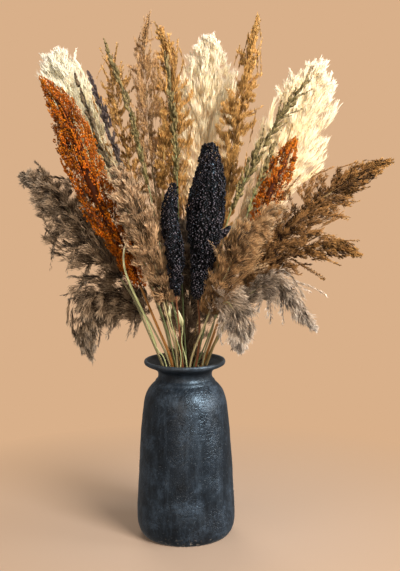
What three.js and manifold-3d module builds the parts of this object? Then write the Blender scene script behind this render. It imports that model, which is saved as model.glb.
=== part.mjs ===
// A tall dark ceramic vase with an arrangement of dried grasses, sorghum heads and plumes.
// Millimetres, +Z up. The origin is the centre of the vase's flat base; the arrangement faces -Y.
//
// Pieces: the vase, and one piece for each stem with whatever grows on it. Every stem stands
// on the vase's floor, crosses the neck in a loose spiral and leans outwards above it.
// The plumes are the closed outer shapes that their fibres reach.
import * as THREE from 'three';
import Module from 'manifold-3d';
import { mergeVertices } from 'three/addons/utils/BufferGeometryUtils.js';

// ---------------------------------------------------------------- driving dimensions (mm)
const VASE_HEIGHT = 361;      // base to the top of the lip
const BASE_RADIUS = 85;       // flat ring that the vase stands on
const BODY_RADIUS = 100;      // widest, low on the body
const SHOULDER_RADIUS = 83.5; // where the shoulder starts to turn in
const NECK_RADIUS = 54.4;     // outside of the neck, at its narrowest
const LIP_RADIUS = 82.3;      // outside of the flared lip
const WALL = 8;               // wall of the body and the neck
const FLOOR = 12;             // thickness of the bottom
const VASE_SIDES = 36;
const GAP = 0.35;             // air between a plume and whatever passes through or beside it
const STEM_SIDES = 6;

// ---------------------------------------------------------------- the vase
// One closed outline [radius, height]: up the outside, over the lip, down the inside.
const NECK_Z = 330;
const vaseOutline = [
  [0, 0], [BASE_RADIUS, 0], [BASE_RADIUS + 4.5, 3], [BODY_RADIUS - 4, 13], [BODY_RADIUS - 0.5, 28], [BODY_RADIUS, 50],
  [97.7, 96], [94.8, 150], [91.4, 205], [87.6, 245], [SHOULDER_RADIUS, 277], [80.2, 289.5], [76, 299], [70, 307.5],
  [64.2, 313.5], [61, 316.5], [60.2, 319.5], [56.6, 323], [NECK_RADIUS, NECK_Z], [56, 338.5], [63.5, 345],
  [76.5, 350.5], [81.5, 354], [LIP_RADIUS, 358], [80.8, VASE_HEIGHT],
  [77, VASE_HEIGHT], [74.5, 358], [62, 350.5], [51, 342.5], [NECK_RADIUS - WALL, 334], [NECK_RADIUS - WALL, 326],
  [49.5, 318], [58, 309], [68.5, 298], [SHOULDER_RADIUS - WALL, 277], [91.4 - WALL, 205], [97.7 - WALL, 96],
  [BODY_RADIUS - WALL, 50], [BODY_RADIUS - WALL - 2, 24], [80, FLOOR], [0, FLOOR],
];

// ---------------------------------------------------------------- the stems and their heads
// stem: points [x, y, z] from the foot inside the vase, with one stem radius.
// head: points [x, y, z, half width, half depth] from its lowest end to its tip.
// A head keeps clear of the ones before it in this list, so the firm seed heads come first.
const plants = [
  {
    name: 'black_sorghum_large', color: 0x1c171c, radius: 2.4, sides: 8,
    stem: [[27.9, 36, 12.8], [21.5, -7.9, 241.2], [19, -25, 330], [27.7, -30, 385.9], [30.1, -48, 445.3]],
    head: [
      [27.4, -60, 492.6, 7.8, 7.8], [29.5, -62, 514.4, 15.5, 15.5], [35.6, -64, 557.5, 22.2, 20],
      [41.6, -65, 596.3, 29.9, 26.9], [41.8, -66, 642.6, 37.4, 31.8], [45.9, -66, 688.4, 36.4, 30.9],
      [52.8, -66, 737.8, 29.6, 26.6], [53, -66, 775.6, 20.9, 18.8], [51.2, -66, 792.5, 3.8, 3.8],
    ],
  },
  {
    name: 'black_sorghum_small', color: 0x1e191f, radius: 2.0, sides: 8,
    stem: [[48.4, 10.8, 12.8], [12.5, -21.6, 241.2], [-1.4, -34.2, 330], [-6.7, -46, 399.2], [-11.7, -62, 455.7]],
    head: [
      [-15, -72, 500.4, 4.2, 4.2], [-15.7, -74, 520.1, 11.6, 11.6], [-15.3, -76, 555.2, 15.4, 15.4],
      [-18.7, -78, 599.7, 18.4, 18.4], [-25.9, -78, 643.7, 17.5, 17.5], [-23.7, -78, 679.8, 15.2, 15.2],
      [-18.7, -76, 702.4, 10.5, 10.5], [-15.8, -75, 717.5, 2.3, 2.3],
    ],
  },
  {
    name: 'orange_sorghum_left', color: 0xb4591c, radius: 2.8, sides: 8,
    stem: [[25.1, -26.3, 12.8], [-8.8, -16, 241.2], [-22, -12, 330], [-30.5, -18, 373.7], [-50.7, -24, 425.7], [-72.5, -30, 481]],
    head: [
      [-82, -32, 505.2, 10.8, 9.8], [-97.1, -33, 545.1, 16.7, 15], [-122.8, -32, 600.4, 20.6, 18.5],
      [-147.9, -28, 645.3, 26.4, 22.5], [-171.8, -24, 696.1, 32.3, 25.8], [-193.7, -18, 756.4, 35.2, 28.1],
      [-216.5, -12, 818.5, 34.2, 27.3], [-236.6, -7, 865, 29.3, 23.4], [-260.7, -3, 901.9, 15.6, 14],
      [-281.9, 0, 929.1, 2.9, 2.9],
    ],
  },
  {
    name: 'orange_sorghum_right', color: 0xc8691f, radius: 2.6, sides: 8,
    stem: [[1.6, 39.8, 12.8], [19.3, 5.3, 241.2], [26.2, -8.2, 330], [39.6, -10, 361.4], [73.4, 2, 451], [112.5, 20, 527.8]],
    head: [
      [125, 26, 553.5, 6.1, 6.1], [137.3, 30, 585.6, 11.1, 11.1], [153.7, 34, 633.9, 19.2, 17.3],
      [167.9, 36, 680.1, 24.2, 21.8], [183.9, 36, 718.1, 28.2, 24], [201.8, 36, 754, 23.1, 20.8],
      [215.7, 36, 783.8, 13, 13], [229.6, 36, 809.5, 2.4, 2.4],
    ],
  },
  {
    name: 'leaf_blade', color: 0xa3ad80, radius: 1.6, sides: 8,
    stem: [[39, -39.1, 12.8], [-12.8, -24.6, 241.2], [-33, -19, 330], [-42.4, -22, 370.5]],
    head: [
      [-55, -26, 387.6, 3.6, 1.1], [-76.4, -38, 452.3, 3.2, 0.9], [-103.2, -50, 515.6, 3.1, 0.9],
      [-115.8, -56, 557.6, 2.9, 0.9], [-115.1, -58, 588.9, 2.3, 0.7], [-108.1, -58, 606.3, 1, 0.4],
    ],
  },
  {
    name: 'bud_stem_left', color: 0xb9c29a, radius: 1.3, sides: 6,
    stem: [[59.4, 0.2, 12.8], [9.1, -28.5, 241.2], [-10.5, -39.6, 330], [-6.8, -46, 379.2], [-21, -52, 428.4]],
    head: [
      [-26.6, -54, 452.5, 3.1, 3.1], [-28.8, -55, 466.6, 4.3, 4.3], [-27.3, -55, 482.3, 1.2, 1.2],
    ],
  },
  {
    name: 'bud_stem_right', color: 0xc4c8a4, radius: 1.6, sides: 6,
    stem: [[53.9, 25.1, 12.8], [20.2, -22, 241.2], [7.1, -40.4, 330], [2, -48, 375.5], [-5.5, -52, 404.3]],
    head: [
      [-3.2, -56, 434.9, 2.9, 2.9], [-7.9, -58, 457, 5.9, 5.9], [-15.5, -60, 477.1, 1.6, 1.6],
    ],
  },
  {
    name: 'grey_green_spike_left', color: 0x878a68, radius: 1.3, sides: 6,
    stem: [[0.6, -24.7, 12.8], [-11.8, -4, 241.2], [-16.6, 4, 330], [-30.1, 12, 398.7], [-65.8, 22, 510.3], [-104.9, 28, 631.8]],
    head: [
      [-132, 30, 710.2, 2.8, 2.8], [-153.2, 30, 762.1, 3.8, 3.8], [-172.4, 30, 803.8, 4.6, 4.6],
      [-189.2, 30, 861, 4.4, 4.4], [-203.3, 30, 898.2, 3.2, 3.2], [-214.8, 30, 937.2, 1, 1],
    ],
  },
  {
    name: 'purple_spike_left', color: 0x6a605f, radius: 1.3, sides: 6,
    stem: [[-23.8, -16.3, 12.8], [-11.4, 8.9, 241.2], [-6.6, 18.8, 330], [-18.2, 24, 396.4], [-50.1, 34, 508.7], [-85.4, 38, 631]],
    head: [
      [-112.7, 40, 711.8, 3, 3], [-130, 40, 760, 4.6, 4.6], [-145.3, 40, 809.9, 5.6, 5.6],
      [-164.1, 40, 873.2, 5.4, 5.4], [-178.4, 40, 908.6, 3.6, 3.6], [-190.7, 40, 941.9, 1, 1],
    ],
  },
  {
    name: 'green_spike_tall', color: 0x7f876b, radius: 1.4, sides: 6,
    stem: [[20.4, 2.5, 12.8], [4.3, -9.4, 241.2], [-2, -14, 330], [-7.2, -14, 403.3], [-32.2, -14, 514.6], [-52.9, -12, 624.1]],
    head: [
      [-65.9, -10, 697, 3.2, 3.2], [-77.2, -8, 745.9, 4.3, 4.3], [-88.3, -6, 798.5, 5.1, 5.1],
      [-107, -4, 868.3, 5.5, 5.5], [-123.9, -2, 922.2, 4.9, 4.9], [-140.9, 0, 962.6, 3.5, 3.5],
      [-153.8, 0, 998.8, 1, 1],
    ],
  },
  {
    name: 'green_spike_centre', color: 0x7c856c, radius: 1.5, sides: 6,
    stem: [[1.3, 6.4, 12.8], [3.2, 0.3, 241.2], [4, -2, 330], [0.4, 6, 399.6], [-4.9, 18, 510.4], [-10.1, 24, 621.4]],
    head: [
      [-12.4, 26, 705.5, 4.8, 4.8], [-14.8, 26, 771.2, 6.4, 6.4], [-18.2, 26, 836.2, 6.4, 6.4],
      [-24.7, 26, 889.1, 5.5, 5.5], [-30.1, 26, 937.7, 4.3, 4.3], [-34.6, 26, 980.2, 1, 1],
    ],
  },
  {
    name: 'green_spike_right', color: 0x7d8465, radius: 1.6, sides: 6,
    stem: [[14.4, 24.9, 12.8], [14.1, -3.1, 241.2], [14, -14, 330], [28.7, -12, 382.4], [53.3, -12, 483.6], [73.6, -12, 583.6]],
    head: [
      [89.6, -12, 650.9, 4.3, 4.3], [111.3, -12, 699.9, 7.1, 7.1], [133, -12, 748.6, 8.8, 7.9],
      [166.1, -12, 806.5, 9.8, 8.8], [204.9, -12, 864, 9, 8.1], [231.9, -12, 904, 5.8, 5.8],
      [252, -12, 932.4, 1.5, 1.5],
    ],
  },
  {
    name: 'green_spike_right_short', color: 0x74793f, radius: 1.4, sides: 6,
    stem: [[-4.1, 25.6, 12.8], [11.6, 5.8, 241.2], [17.8, -1.8, 330], [36.8, 4, 379.2], [75.8, 14, 479.8], [108.3, 14, 581.1]],
    head: [
      [126.3, 12, 651.3, 3.6, 3.6], [142.2, 12, 697, 5.6, 5.6], [158, 10, 736.5, 7.1, 7.1],
      [171.6, 8, 773.8, 5.9, 5.9], [183.4, 8, 803.1, 1.6, 1.6],
    ],
  },
  {
    name: 'brown_reed_short', color: 0x7b4f20, radius: 1.5, sides: 6,
    stem: [[-8.9, -12.8, 12.8], [-7.5, 2.3, 241.2], [-7, 8.2, 330], [-18, 16, 397.9], [-27.4, 26, 509.5], [-36.6, 33, 620.9]],
    head: [
      [-43, 36, 697.5, 8.1, 6.5], [-40.4, 36, 751.5, 13.1, 10.5], [-37.9, 36, 801.2, 13, 10.4],
      [-37.5, 36, 836.8, 8, 6.4], [-37.1, 36, 868.3, 1.6, 1.6],
    ],
  },
  {
    name: 'beige_pampas_front', color: 0xb39c78, radius: 2.2, sides: 8,
    stem: [[43.1, -9.5, 12.8], [2, -22.1, 241.2], [-14, -27, 330], [-16.8, -38, 387.7], [-27.8, -52, 434.4]],
    head: [
      [-35.1, -60, 467.4, 9.7, 7.8], [-46, -66, 511.5, 21.3, 17], [-62.6, -70, 560.6, 32.7, 24.6],
      [-81.1, -70, 616.7, 38.4, 26.9], [-101.6, -66, 674.1, 36.4, 25.5], [-122.4, -60, 723.6, 26.8, 18.8],
      [-143.3, -54, 761.7, 4.8, 3.8],
    ],
  },
  {
    name: 'taupe_pampas_front_right', color: 0x9c7f5c, radius: 2.2, sides: 8,
    stem: [[38.8, 22.8, 12.8], [16.8, -15.2, 241.2], [8.2, -29.9, 330], [13.8, -43, 372.4], [31.9, -62, 423.8]],
    head: [
      [44.7, -72, 455, 9.7, 8.7], [60.2, -78, 496.8, 23.1, 18.5], [85.5, -74, 550.5, 34.6, 26],
      [110.9, -66, 601.7, 36.6, 27.4], [142.5, -52, 637.2, 28.1, 21], [172.3, -40, 661.6, 16.5, 13.2],
      [202.3, -30, 672.6, 3.5, 3.5],
    ],
  },
  {
    name: 'grey_pampas_hanging_right', color: 0xa09482, radius: 2.0, sides: 8,
    stem: [[18.8, 53.1, 12.8], [28.3, -1, 241.2], [32, -22, 330], [40.6, -34, 382.5], [55.4, -56, 432.5]],
    head: [
      [64.1, -74, 470.9, 13.5, 12.2], [83.1, -88, 490.4, 24.9, 19.9], [98.1, -94, 471.8, 28.7, 21.5],
      [105.8, -94, 434.9, 19.2, 16.3], [109.7, -90, 393.1, 3.5, 3.5],
    ],
  },
  {
    name: 'golden_reed_right', color: 0xa87a38, radius: 1.8, sides: 8,
    stem: [[-24.3, 23.5, 12.8], [7.6, 15.2, 241.2], [20, 12, 330], [18.6, 22, 396.6], [47.9, 40, 507.3], [73.1, 52, 618.9]],
    head: [
      [89.8, 58, 700.1, 12.2, 11], [97.1, 60, 760.7, 20.3, 17.3], [106.4, 60, 830.9, 24.3, 20.7],
      [118.6, 60, 896.5, 22.2, 18.9], [130.6, 60, 959.6, 19.1, 16.2], [139.6, 60, 1006.6, 12, 10.8],
      [150.6, 60, 1055.2, 1.8, 1.8],
    ],
  },
  {
    name: 'tan_reed_left', color: 0xb08a50, radius: 1.8, sides: 8,
    stem: [[-19.6, -39.9, 12.8], [-22.1, 3.4, 241.2], [-23.1, 20.2, 330], [-31, 40, 393.5], [-61.7, 66, 515.1], [-81.5, 74, 618.4]],
    head: [
      [-99.2, 78, 696.6, 12.4, 11.1], [-114.8, 80, 762.1, 21.6, 18.3], [-128.3, 82, 827.1, 28.7, 22.9],
      [-138.5, 82, 887.6, 30.6, 24.5], [-144.8, 82, 939.7, 24.4, 19.5], [-146, 82, 987.4, 4.1, 4.1],
    ],
  },
  {
    name: 'taupe_reed_centre', color: 0x957a56, radius: 1.8, sides: 8,
    stem: [[-14.1, 1.5, 12.8], [-1.4, 7, 241.2], [3.5, 9.1, 330], [-8.1, 28, 395.6], [-26.1, 50, 506.5], [-42, 62, 598.4]],
    head: [
      [-53.7, 66, 670.1, 12.3, 11.1], [-63.2, 66, 731.3, 21.5, 18.2], [-69.4, 66, 802.1, 26.4, 21.2],
      [-73.5, 66, 882.2, 26.3, 21.1], [-76.5, 66, 957.5, 21.2, 16.9], [-75.8, 66, 1012.6, 11, 9.9],
      [-63.2, 66, 1061.3, 2, 2],
    ],
  },
  {
    name: 'golden_reed_centre', color: 0xc09046, radius: 1.8, sides: 8,
    stem: [[-43.6, 8, 12.8], [-2.8, 22.1, 241.2], [13.1, 27.6, 330], [3.9, 46, 392.2], [-4, 78, 502.8], [-11.7, 94, 606.1]],
    head: [
      [-16.4, 100, 678.8, 10.4, 9.4], [-21, 102, 751.3, 19.7, 16.8], [-21.3, 102, 833.3, 24.8, 19.8],
      [-22.6, 102, 908.5, 25.7, 20.6], [-28.2, 102, 969, 21.5, 17.2], [-40.9, 100, 1012.8, 10.2, 9.2],
      [-64.9, 98, 1052.4, 2, 2],
    ],
  },
  {
    name: 'brown_plume_right', color: 0x8a6640, radius: 2.4, sides: 8,
    stem: [[-3.1, 56.2, 12.8], [26.5, 10, 241.2], [38, -8, 330], [48.7, -12, 365.9], [82.9, -20, 450.4]],
    head: [
      [112.6, -26, 505.2, 8.9, 8.9], [148, -28, 558.9, 21.7, 19.5], [191, -28, 613.9, 36.3, 27.2],
      [240, -26, 660.5, 43.1, 30.2], [293, -22, 699, 39.1, 27.4], [340.2, -18, 725.9, 28.4, 21.3],
      [379.7, -14, 747.1, 14.7, 13.2], [415.2, -12, 758.5, 3.1, 3.1],
    ],
  },
  {
    name: 'brown_plume_lower_right', color: 0x86694a, radius: 2.2, sides: 8,
    stem: [[-33.9, 48, 12.8], [17.9, 23.5, 241.2], [38, 14, 330], [53.2, 24, 375.2], [84.3, 34, 431.4]],
    head: [
      [113.2, 38, 474.1, 8.2, 8.2], [150.3, 42, 518.8, 18.4, 16.6], [197.2, 42, 559.6, 28.6, 21.4],
      [245.8, 40, 580, 31.6, 22.1], [296.1, 36, 584.1, 22.4, 17.9], [336.6, 34, 575.9, 12.2, 12.2],
      [362.8, 32, 563.7, 3, 3],
    ],
  },
  {
    name: 'taupe_plume_drooping_right', color: 0xa39580, radius: 2.0, sides: 8,
    stem: [[-16.6, 45.1, 12.8], [19.1, 14.8, 241.2], [33, 3, 330], [47.8, 0, 367.6], [77.2, -4, 419.4]],
    head: [
      [105.2, -10, 462.8, 8, 8], [140.5, -22, 504.5, 17.8, 15.2], [173.5, -30, 519.3, 25.6, 20.5],
      [200.9, -34, 501.8, 25.6, 20.5], [222.6, -36, 472.1, 15.8, 14.2], [264.2, -38, 424.1, 3, 3],
    ],
  },
  {
    name: 'taupe_pampas_left', color: 0x86705a, radius: 2.2, sides: 8,
    stem: [[22.7, -51, 12.8], [-21, -18.6, 241.2], [-38, -6, 330], [-48.9, -10, 362], [-75.1, -14, 426.1], [-100.2, -14, 486.9]],
    head: [
      [-126, -8, 526.5, 17.9, 12.6], [-157.9, 0, 565.9, 37.9, 26.6], [-189.9, 8, 607.5, 58, 37.7],
      [-221.7, 14, 651.4, 58, 37.7], [-259.3, 18, 693.3, 38, 26.6], [-294.8, 20, 721.3, 19, 15.2],
      [-330.3, 20, 739.4, 4, 4],
    ],
  },
  {
    name: 'taupe_pampas_lower_left', color: 0x7f6a55, radius: 2.2, sides: 8,
    stem: [[-0.7, -42.2, 12.8], [-20.4, -6.1, 241.2], [-28, 8, 330], [-36.6, 12, 365.7], [-58.7, 18, 410.2]],
    head: [
      [-78.9, 24, 446.4, 12.2, 11], [-109.3, 28, 476.9, 28.5, 24.2], [-146, 32, 493.1, 42.8, 32.1],
      [-179.1, 34, 480.6, 45, 33.7], [-202.1, 32, 443.9, 30.7, 26.1], [-200.9, 30, 394.4, 16.4, 14.8],
      [-191.3, 28, 353, 3.7, 3.7],
    ],
  },
  {
    name: 'taupe_pampas_centre_low', color: 0x8c7355, radius: 1.8, sides: 8,
    stem: [[-29.2, 3, 12.8], [-3, 14.4, 241.2], [7.2, 18.9, 330], [4, 22, 367.6]],
    head: [
      [4.1, 26, 385.5, 10.2, 7.2], [6.4, 30, 422.2, 34.8, 17.4], [8.8, 34, 473.3, 51.1, 21.5],
      [7.2, 37, 538.8, 51, 21.4], [3.6, 38, 600, 34.5, 17.3], [2, 38, 652.8, 6.1, 6.1],
    ],
  },
  {
    name: 'cream_pampas_left', color: 0xefe3c4, radius: 2.0, sides: 8,
    stem: [[-28.9, -52, 12.8], [-29.3, 6, 241.2], [-29.4, 28.5, 330], [-35.5, 50, 391.7], [-73.1, 84, 502.5], [-112.4, 100, 606.3]],
    head: [
      [-144.8, 104, 689.9, 16.7, 13.4], [-179.3, 108, 766.7, 29.2, 21.9], [-211.2, 110, 841, 39.4, 29.6],
      [-239, 112, 906.5, 45.5, 31.9], [-258.4, 112, 959.3, 39.2, 27.4], [-265.8, 112, 993.6, 10.3, 10.3],
    ],
  },
  {
    name: 'cream_pampas_right', color: 0xf1e2b6, radius: 2.0, sides: 8,
    stem: [[-43.4, 27.4, 12.8], [6.6, 25, 241.2], [26, 24, 330], [30.8, 46, 392.1], [73.3, 84, 501.6], [115.9, 100, 594.4]],
    head: [
      [149.8, 106, 656.7, 25.1, 20.1], [185.6, 112, 718.9, 46, 34.5], [221.2, 116, 791.2, 60.5, 42.4],
      [245.9, 118, 859.1, 62.4, 43.7], [268.3, 118, 920.2, 45.6, 34.2], [290.6, 118, 972.8, 6.2, 6.2],
    ],
  },
  {
    name: 'cream_pampas_centre', color: 0xf0dfb0, radius: 2.2, sides: 8,
    stem: [[-37.6, -9.6, 12.8], [-10.3, 16.6, 241.2], [0.3, 26.8, 330], [5.7, 70, 387.8], [18.8, 110, 498.7], [29.8, 122, 572]],
    head: [
      [36.5, 128, 624.6, 27.6, 22.1], [43.3, 134, 698.3, 46.6, 34.9], [48, 138, 782.2, 59.1, 41.4],
      [49.5, 140, 865.5, 59.9, 41.9], [50.9, 140, 937.7, 52.3, 36.6], [51.2, 138, 988.7, 35.4, 26.6],
      [49.3, 136, 1025, 6.2, 6.2],
    ],
  },
];

// ---------------------------------------------------------------- building a bent piece
const wasm = await Module();
wasm.setup();

const Y = new THREE.Vector3(0, 1, 0);

// A lathe-turned rod or spindle, laid along a row of rings. Each ring has a centre, a half width
// (sideways to the viewer) and a half depth (towards the viewer).
function bent(rings, sides, extra = 0) {
  const n = rings.length;
  const outline = [new THREE.Vector2(0, 0)];
  for (let i = 0; i < n; i++) outline.push(new THREE.Vector2(1, i));
  outline.push(new THREE.Vector2(0, n - 1));
  const g = new THREE.LatheGeometry(outline, sides);
  g.deleteAttribute('normal');
  g.deleteAttribute('uv');
  const frames = rings.map((ring, i) => {
    const a = rings[Math.max(i - 1, 0)].c;
    const b = rings[Math.min(i + 1, n - 1)].c;
    const t = b.clone().sub(a).normalize();
    const back = Y.clone().addScaledVector(t, -t.dot(Y)).normalize();
    const side = new THREE.Vector3().crossVectors(t, back);
    // the grown copy is a little longer too, so that the ends keep the same gap
    const end = i === 0 ? -extra : i === n - 1 ? extra : 0;
    return { c: ring.c.clone().addScaledVector(t, end), side, back, w: ring.w + extra, d: ring.d + extra };
  });
  const p = g.attributes.position;
  const v = new THREE.Vector3();
  for (let k = 0; k < p.count; k++) {
    const f = frames[Math.round(p.getY(k))];
    v.copy(f.c).addScaledVector(f.side, p.getX(k) * f.w).addScaledVector(f.back, p.getZ(k) * f.d);
    p.setXYZ(k, v.x, v.y, v.z);
  }
  return g;
}

// closed three.js geometry -> solid, its faces turned out
function solid(geometry) {
  const g = mergeVertices(geometry, 1e-4);
  const pos = g.attributes.position.array;
  const src = g.index.array;
  const tri = [];
  let volume = 0;
  for (let i = 0; i < src.length; i += 3) {
    const [a, b, c] = [src[i], src[i + 1], src[i + 2]];
    if (a === b || b === c || c === a) continue;
    tri.push(a, b, c);
    const [ax, ay, az] = pos.slice(3 * a, 3 * a + 3);
    const [bx, by, bz] = pos.slice(3 * b, 3 * b + 3);
    const [cx, cy, cz] = pos.slice(3 * c, 3 * c + 3);
    volume += ax * (by * cz - bz * cy) + ay * (bz * cx - bx * cz) + az * (bx * cy - by * cx);
  }
  if (volume < 0) for (let i = 0; i < tri.length; i += 3) [tri[i + 1], tri[i + 2]] = [tri[i + 2], tri[i + 1]];
  return new wasm.Manifold(new wasm.Mesh({
    numProp: 3,
    vertProperties: new Float32Array(pos),
    triVerts: new Uint32Array(tri),
  }));
}

// solid -> geometry of the one body that holds its lowest point: crumbs cut loose are dropped
function mainBody(s) {
  const m = s.getMesh();
  const n = m.vertProperties.length / 3;
  const root = Array.from({ length: n }, (_, i) => i);
  const find = (i) => { while (root[i] !== i) { root[i] = root[root[i]]; i = root[i]; } return i; };
  for (let i = 0; i < m.triVerts.length; i += 3) {
    root[find(m.triVerts[i])] = find(m.triVerts[i + 1]);
    root[find(m.triVerts[i + 1])] = find(m.triVerts[i + 2]);
  }
  let low = 0;
  for (let i = 1; i < n; i++) if (m.vertProperties[3 * i + 2] < m.vertProperties[3 * low + 2]) low = i;
  const keep = find(low);
  const place = new Map();
  const pos = [];
  const index = [];
  for (const v of m.triVerts) {
    if (find(v) !== keep) continue;
    if (!place.has(v)) {
      place.set(v, pos.length / 3);
      pos.push(...m.vertProperties.slice(3 * v, 3 * v + 3));
    }
    index.push(place.get(v));
  }
  const g = new THREE.BufferGeometry();
  g.setAttribute('position', new THREE.Float32BufferAttribute(pos, 3));
  g.setIndex(index);
  g.computeVertexNormals();
  return g;
}

// ---------------------------------------------------------------- assembly
const group = new THREE.Group();

const vaseGeometry = new THREE.LatheGeometry(vaseOutline.map(([r, z]) => new THREE.Vector2(r, z)), VASE_SIDES);
vaseGeometry.rotateX(Math.PI / 2);
const vase = new THREE.Mesh(vaseGeometry, new THREE.MeshStandardMaterial({ color: 0x2b3036, roughness: 0.55, metalness: 0 }));
vase.name = 'vase';
group.add(vase);

// the rings of a stem, which runs a little way into its head
function stemRings(plant) {
  const [x, y, z] = plant.head[1];
  const top = new THREE.Vector3(x, y, z);
  const pts = plant.stem.map((p) => new THREE.Vector3(...p));
  const first = new THREE.Vector3(...plant.head[0].slice(0, 3));
  const rings = pts.concat([first, first.clone().lerp(top, 0.5)]);
  return rings.map((c, i) => {
    const r = i === rings.length - 1 ? plant.radius * 0.7 : plant.radius;
    return { c, w: r, d: r };
  });
}

function headRings(plant) {
  return plant.head.map(([x, y, z, w, d]) => ({ c: new THREE.Vector3(x, y, z), w, d }));
}

const pieces = plants.map((plant) => ({
  plant,
  stem: solid(bent(stemRings(plant), STEM_SIDES)),
  stemRoom: solid(bent(stemRings(plant), STEM_SIDES, GAP)),
  head: solid(bent(headRings(plant), plant.sides)),
  headRoom: solid(bent(headRings(plant), plant.sides, GAP)),
}));

pieces.forEach((piece, i) => {
  let head = piece.head;
  pieces.forEach((other, j) => {
    if (j === i) return;
    head = head.subtract(other.stemRoom);
    if (j < i) head = head.subtract(other.headRoom);
  });
  const mesh = new THREE.Mesh(
    mainBody(piece.stem.add(head)),
    new THREE.MeshStandardMaterial({ color: piece.plant.color, roughness: piece.plant.roughness ?? 0.9, metalness: 0 }),
  );
  mesh.name = piece.plant.name;
  group.add(mesh);
});

export default group;
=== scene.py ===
"""Looks of the dried arrangement in its dark ceramic vase. Metres, +Z up, -Y is the front."""
import math

import bmesh
import bpy
import numpy as np
from mathutils import Matrix


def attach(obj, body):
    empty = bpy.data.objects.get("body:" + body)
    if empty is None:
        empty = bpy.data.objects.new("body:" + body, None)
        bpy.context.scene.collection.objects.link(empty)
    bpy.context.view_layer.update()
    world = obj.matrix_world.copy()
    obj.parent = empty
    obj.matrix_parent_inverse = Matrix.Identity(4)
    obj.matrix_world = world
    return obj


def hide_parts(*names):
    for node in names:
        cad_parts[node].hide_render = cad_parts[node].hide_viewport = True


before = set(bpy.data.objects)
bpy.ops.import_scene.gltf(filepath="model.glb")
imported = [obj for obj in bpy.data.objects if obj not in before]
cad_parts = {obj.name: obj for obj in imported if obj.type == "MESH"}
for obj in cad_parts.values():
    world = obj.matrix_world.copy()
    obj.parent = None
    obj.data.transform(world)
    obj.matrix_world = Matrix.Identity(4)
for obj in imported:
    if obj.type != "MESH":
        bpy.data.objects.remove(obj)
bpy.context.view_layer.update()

scene = bpy.context.scene
MM = 0.001

# ------------------------------------------------------------------ camera
# Fitted to the ellipses of the lip and the foot: 964 px focal length on a frame 571 px tall.
TILT, ROLL = math.radians(7.2), math.radians(0.35)
CAM_AT = (0.0315, -1.917, 0.7536)
cam_data = bpy.data.cameras.new("camera")
cam_data.sensor_fit = "VERTICAL"
cam_data.sensor_height = 36.0
cam_data.lens = 964.0 * 36.0 / 571.0
cam_data.clip_end = 60.0
cam = bpy.data.objects.new("camera", cam_data)
scene.collection.objects.link(cam)
fwd = np.array([0, math.cos(TILT), -math.sin(TILT)])
up0 = np.array([0, math.sin(TILT), math.cos(TILT)])
rt0 = np.array([1.0, 0, 0])
right = math.cos(ROLL) * rt0 - math.sin(ROLL) * up0
up = math.sin(ROLL) * rt0 + math.cos(ROLL) * up0
m = Matrix.Identity(4)
for i in range(3):
    m[i][0], m[i][1], m[i][2], m[i][3] = right[i], up[i], -fwd[i], CAM_AT[i]
cam.matrix_world = m
scene.camera = cam

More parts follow.
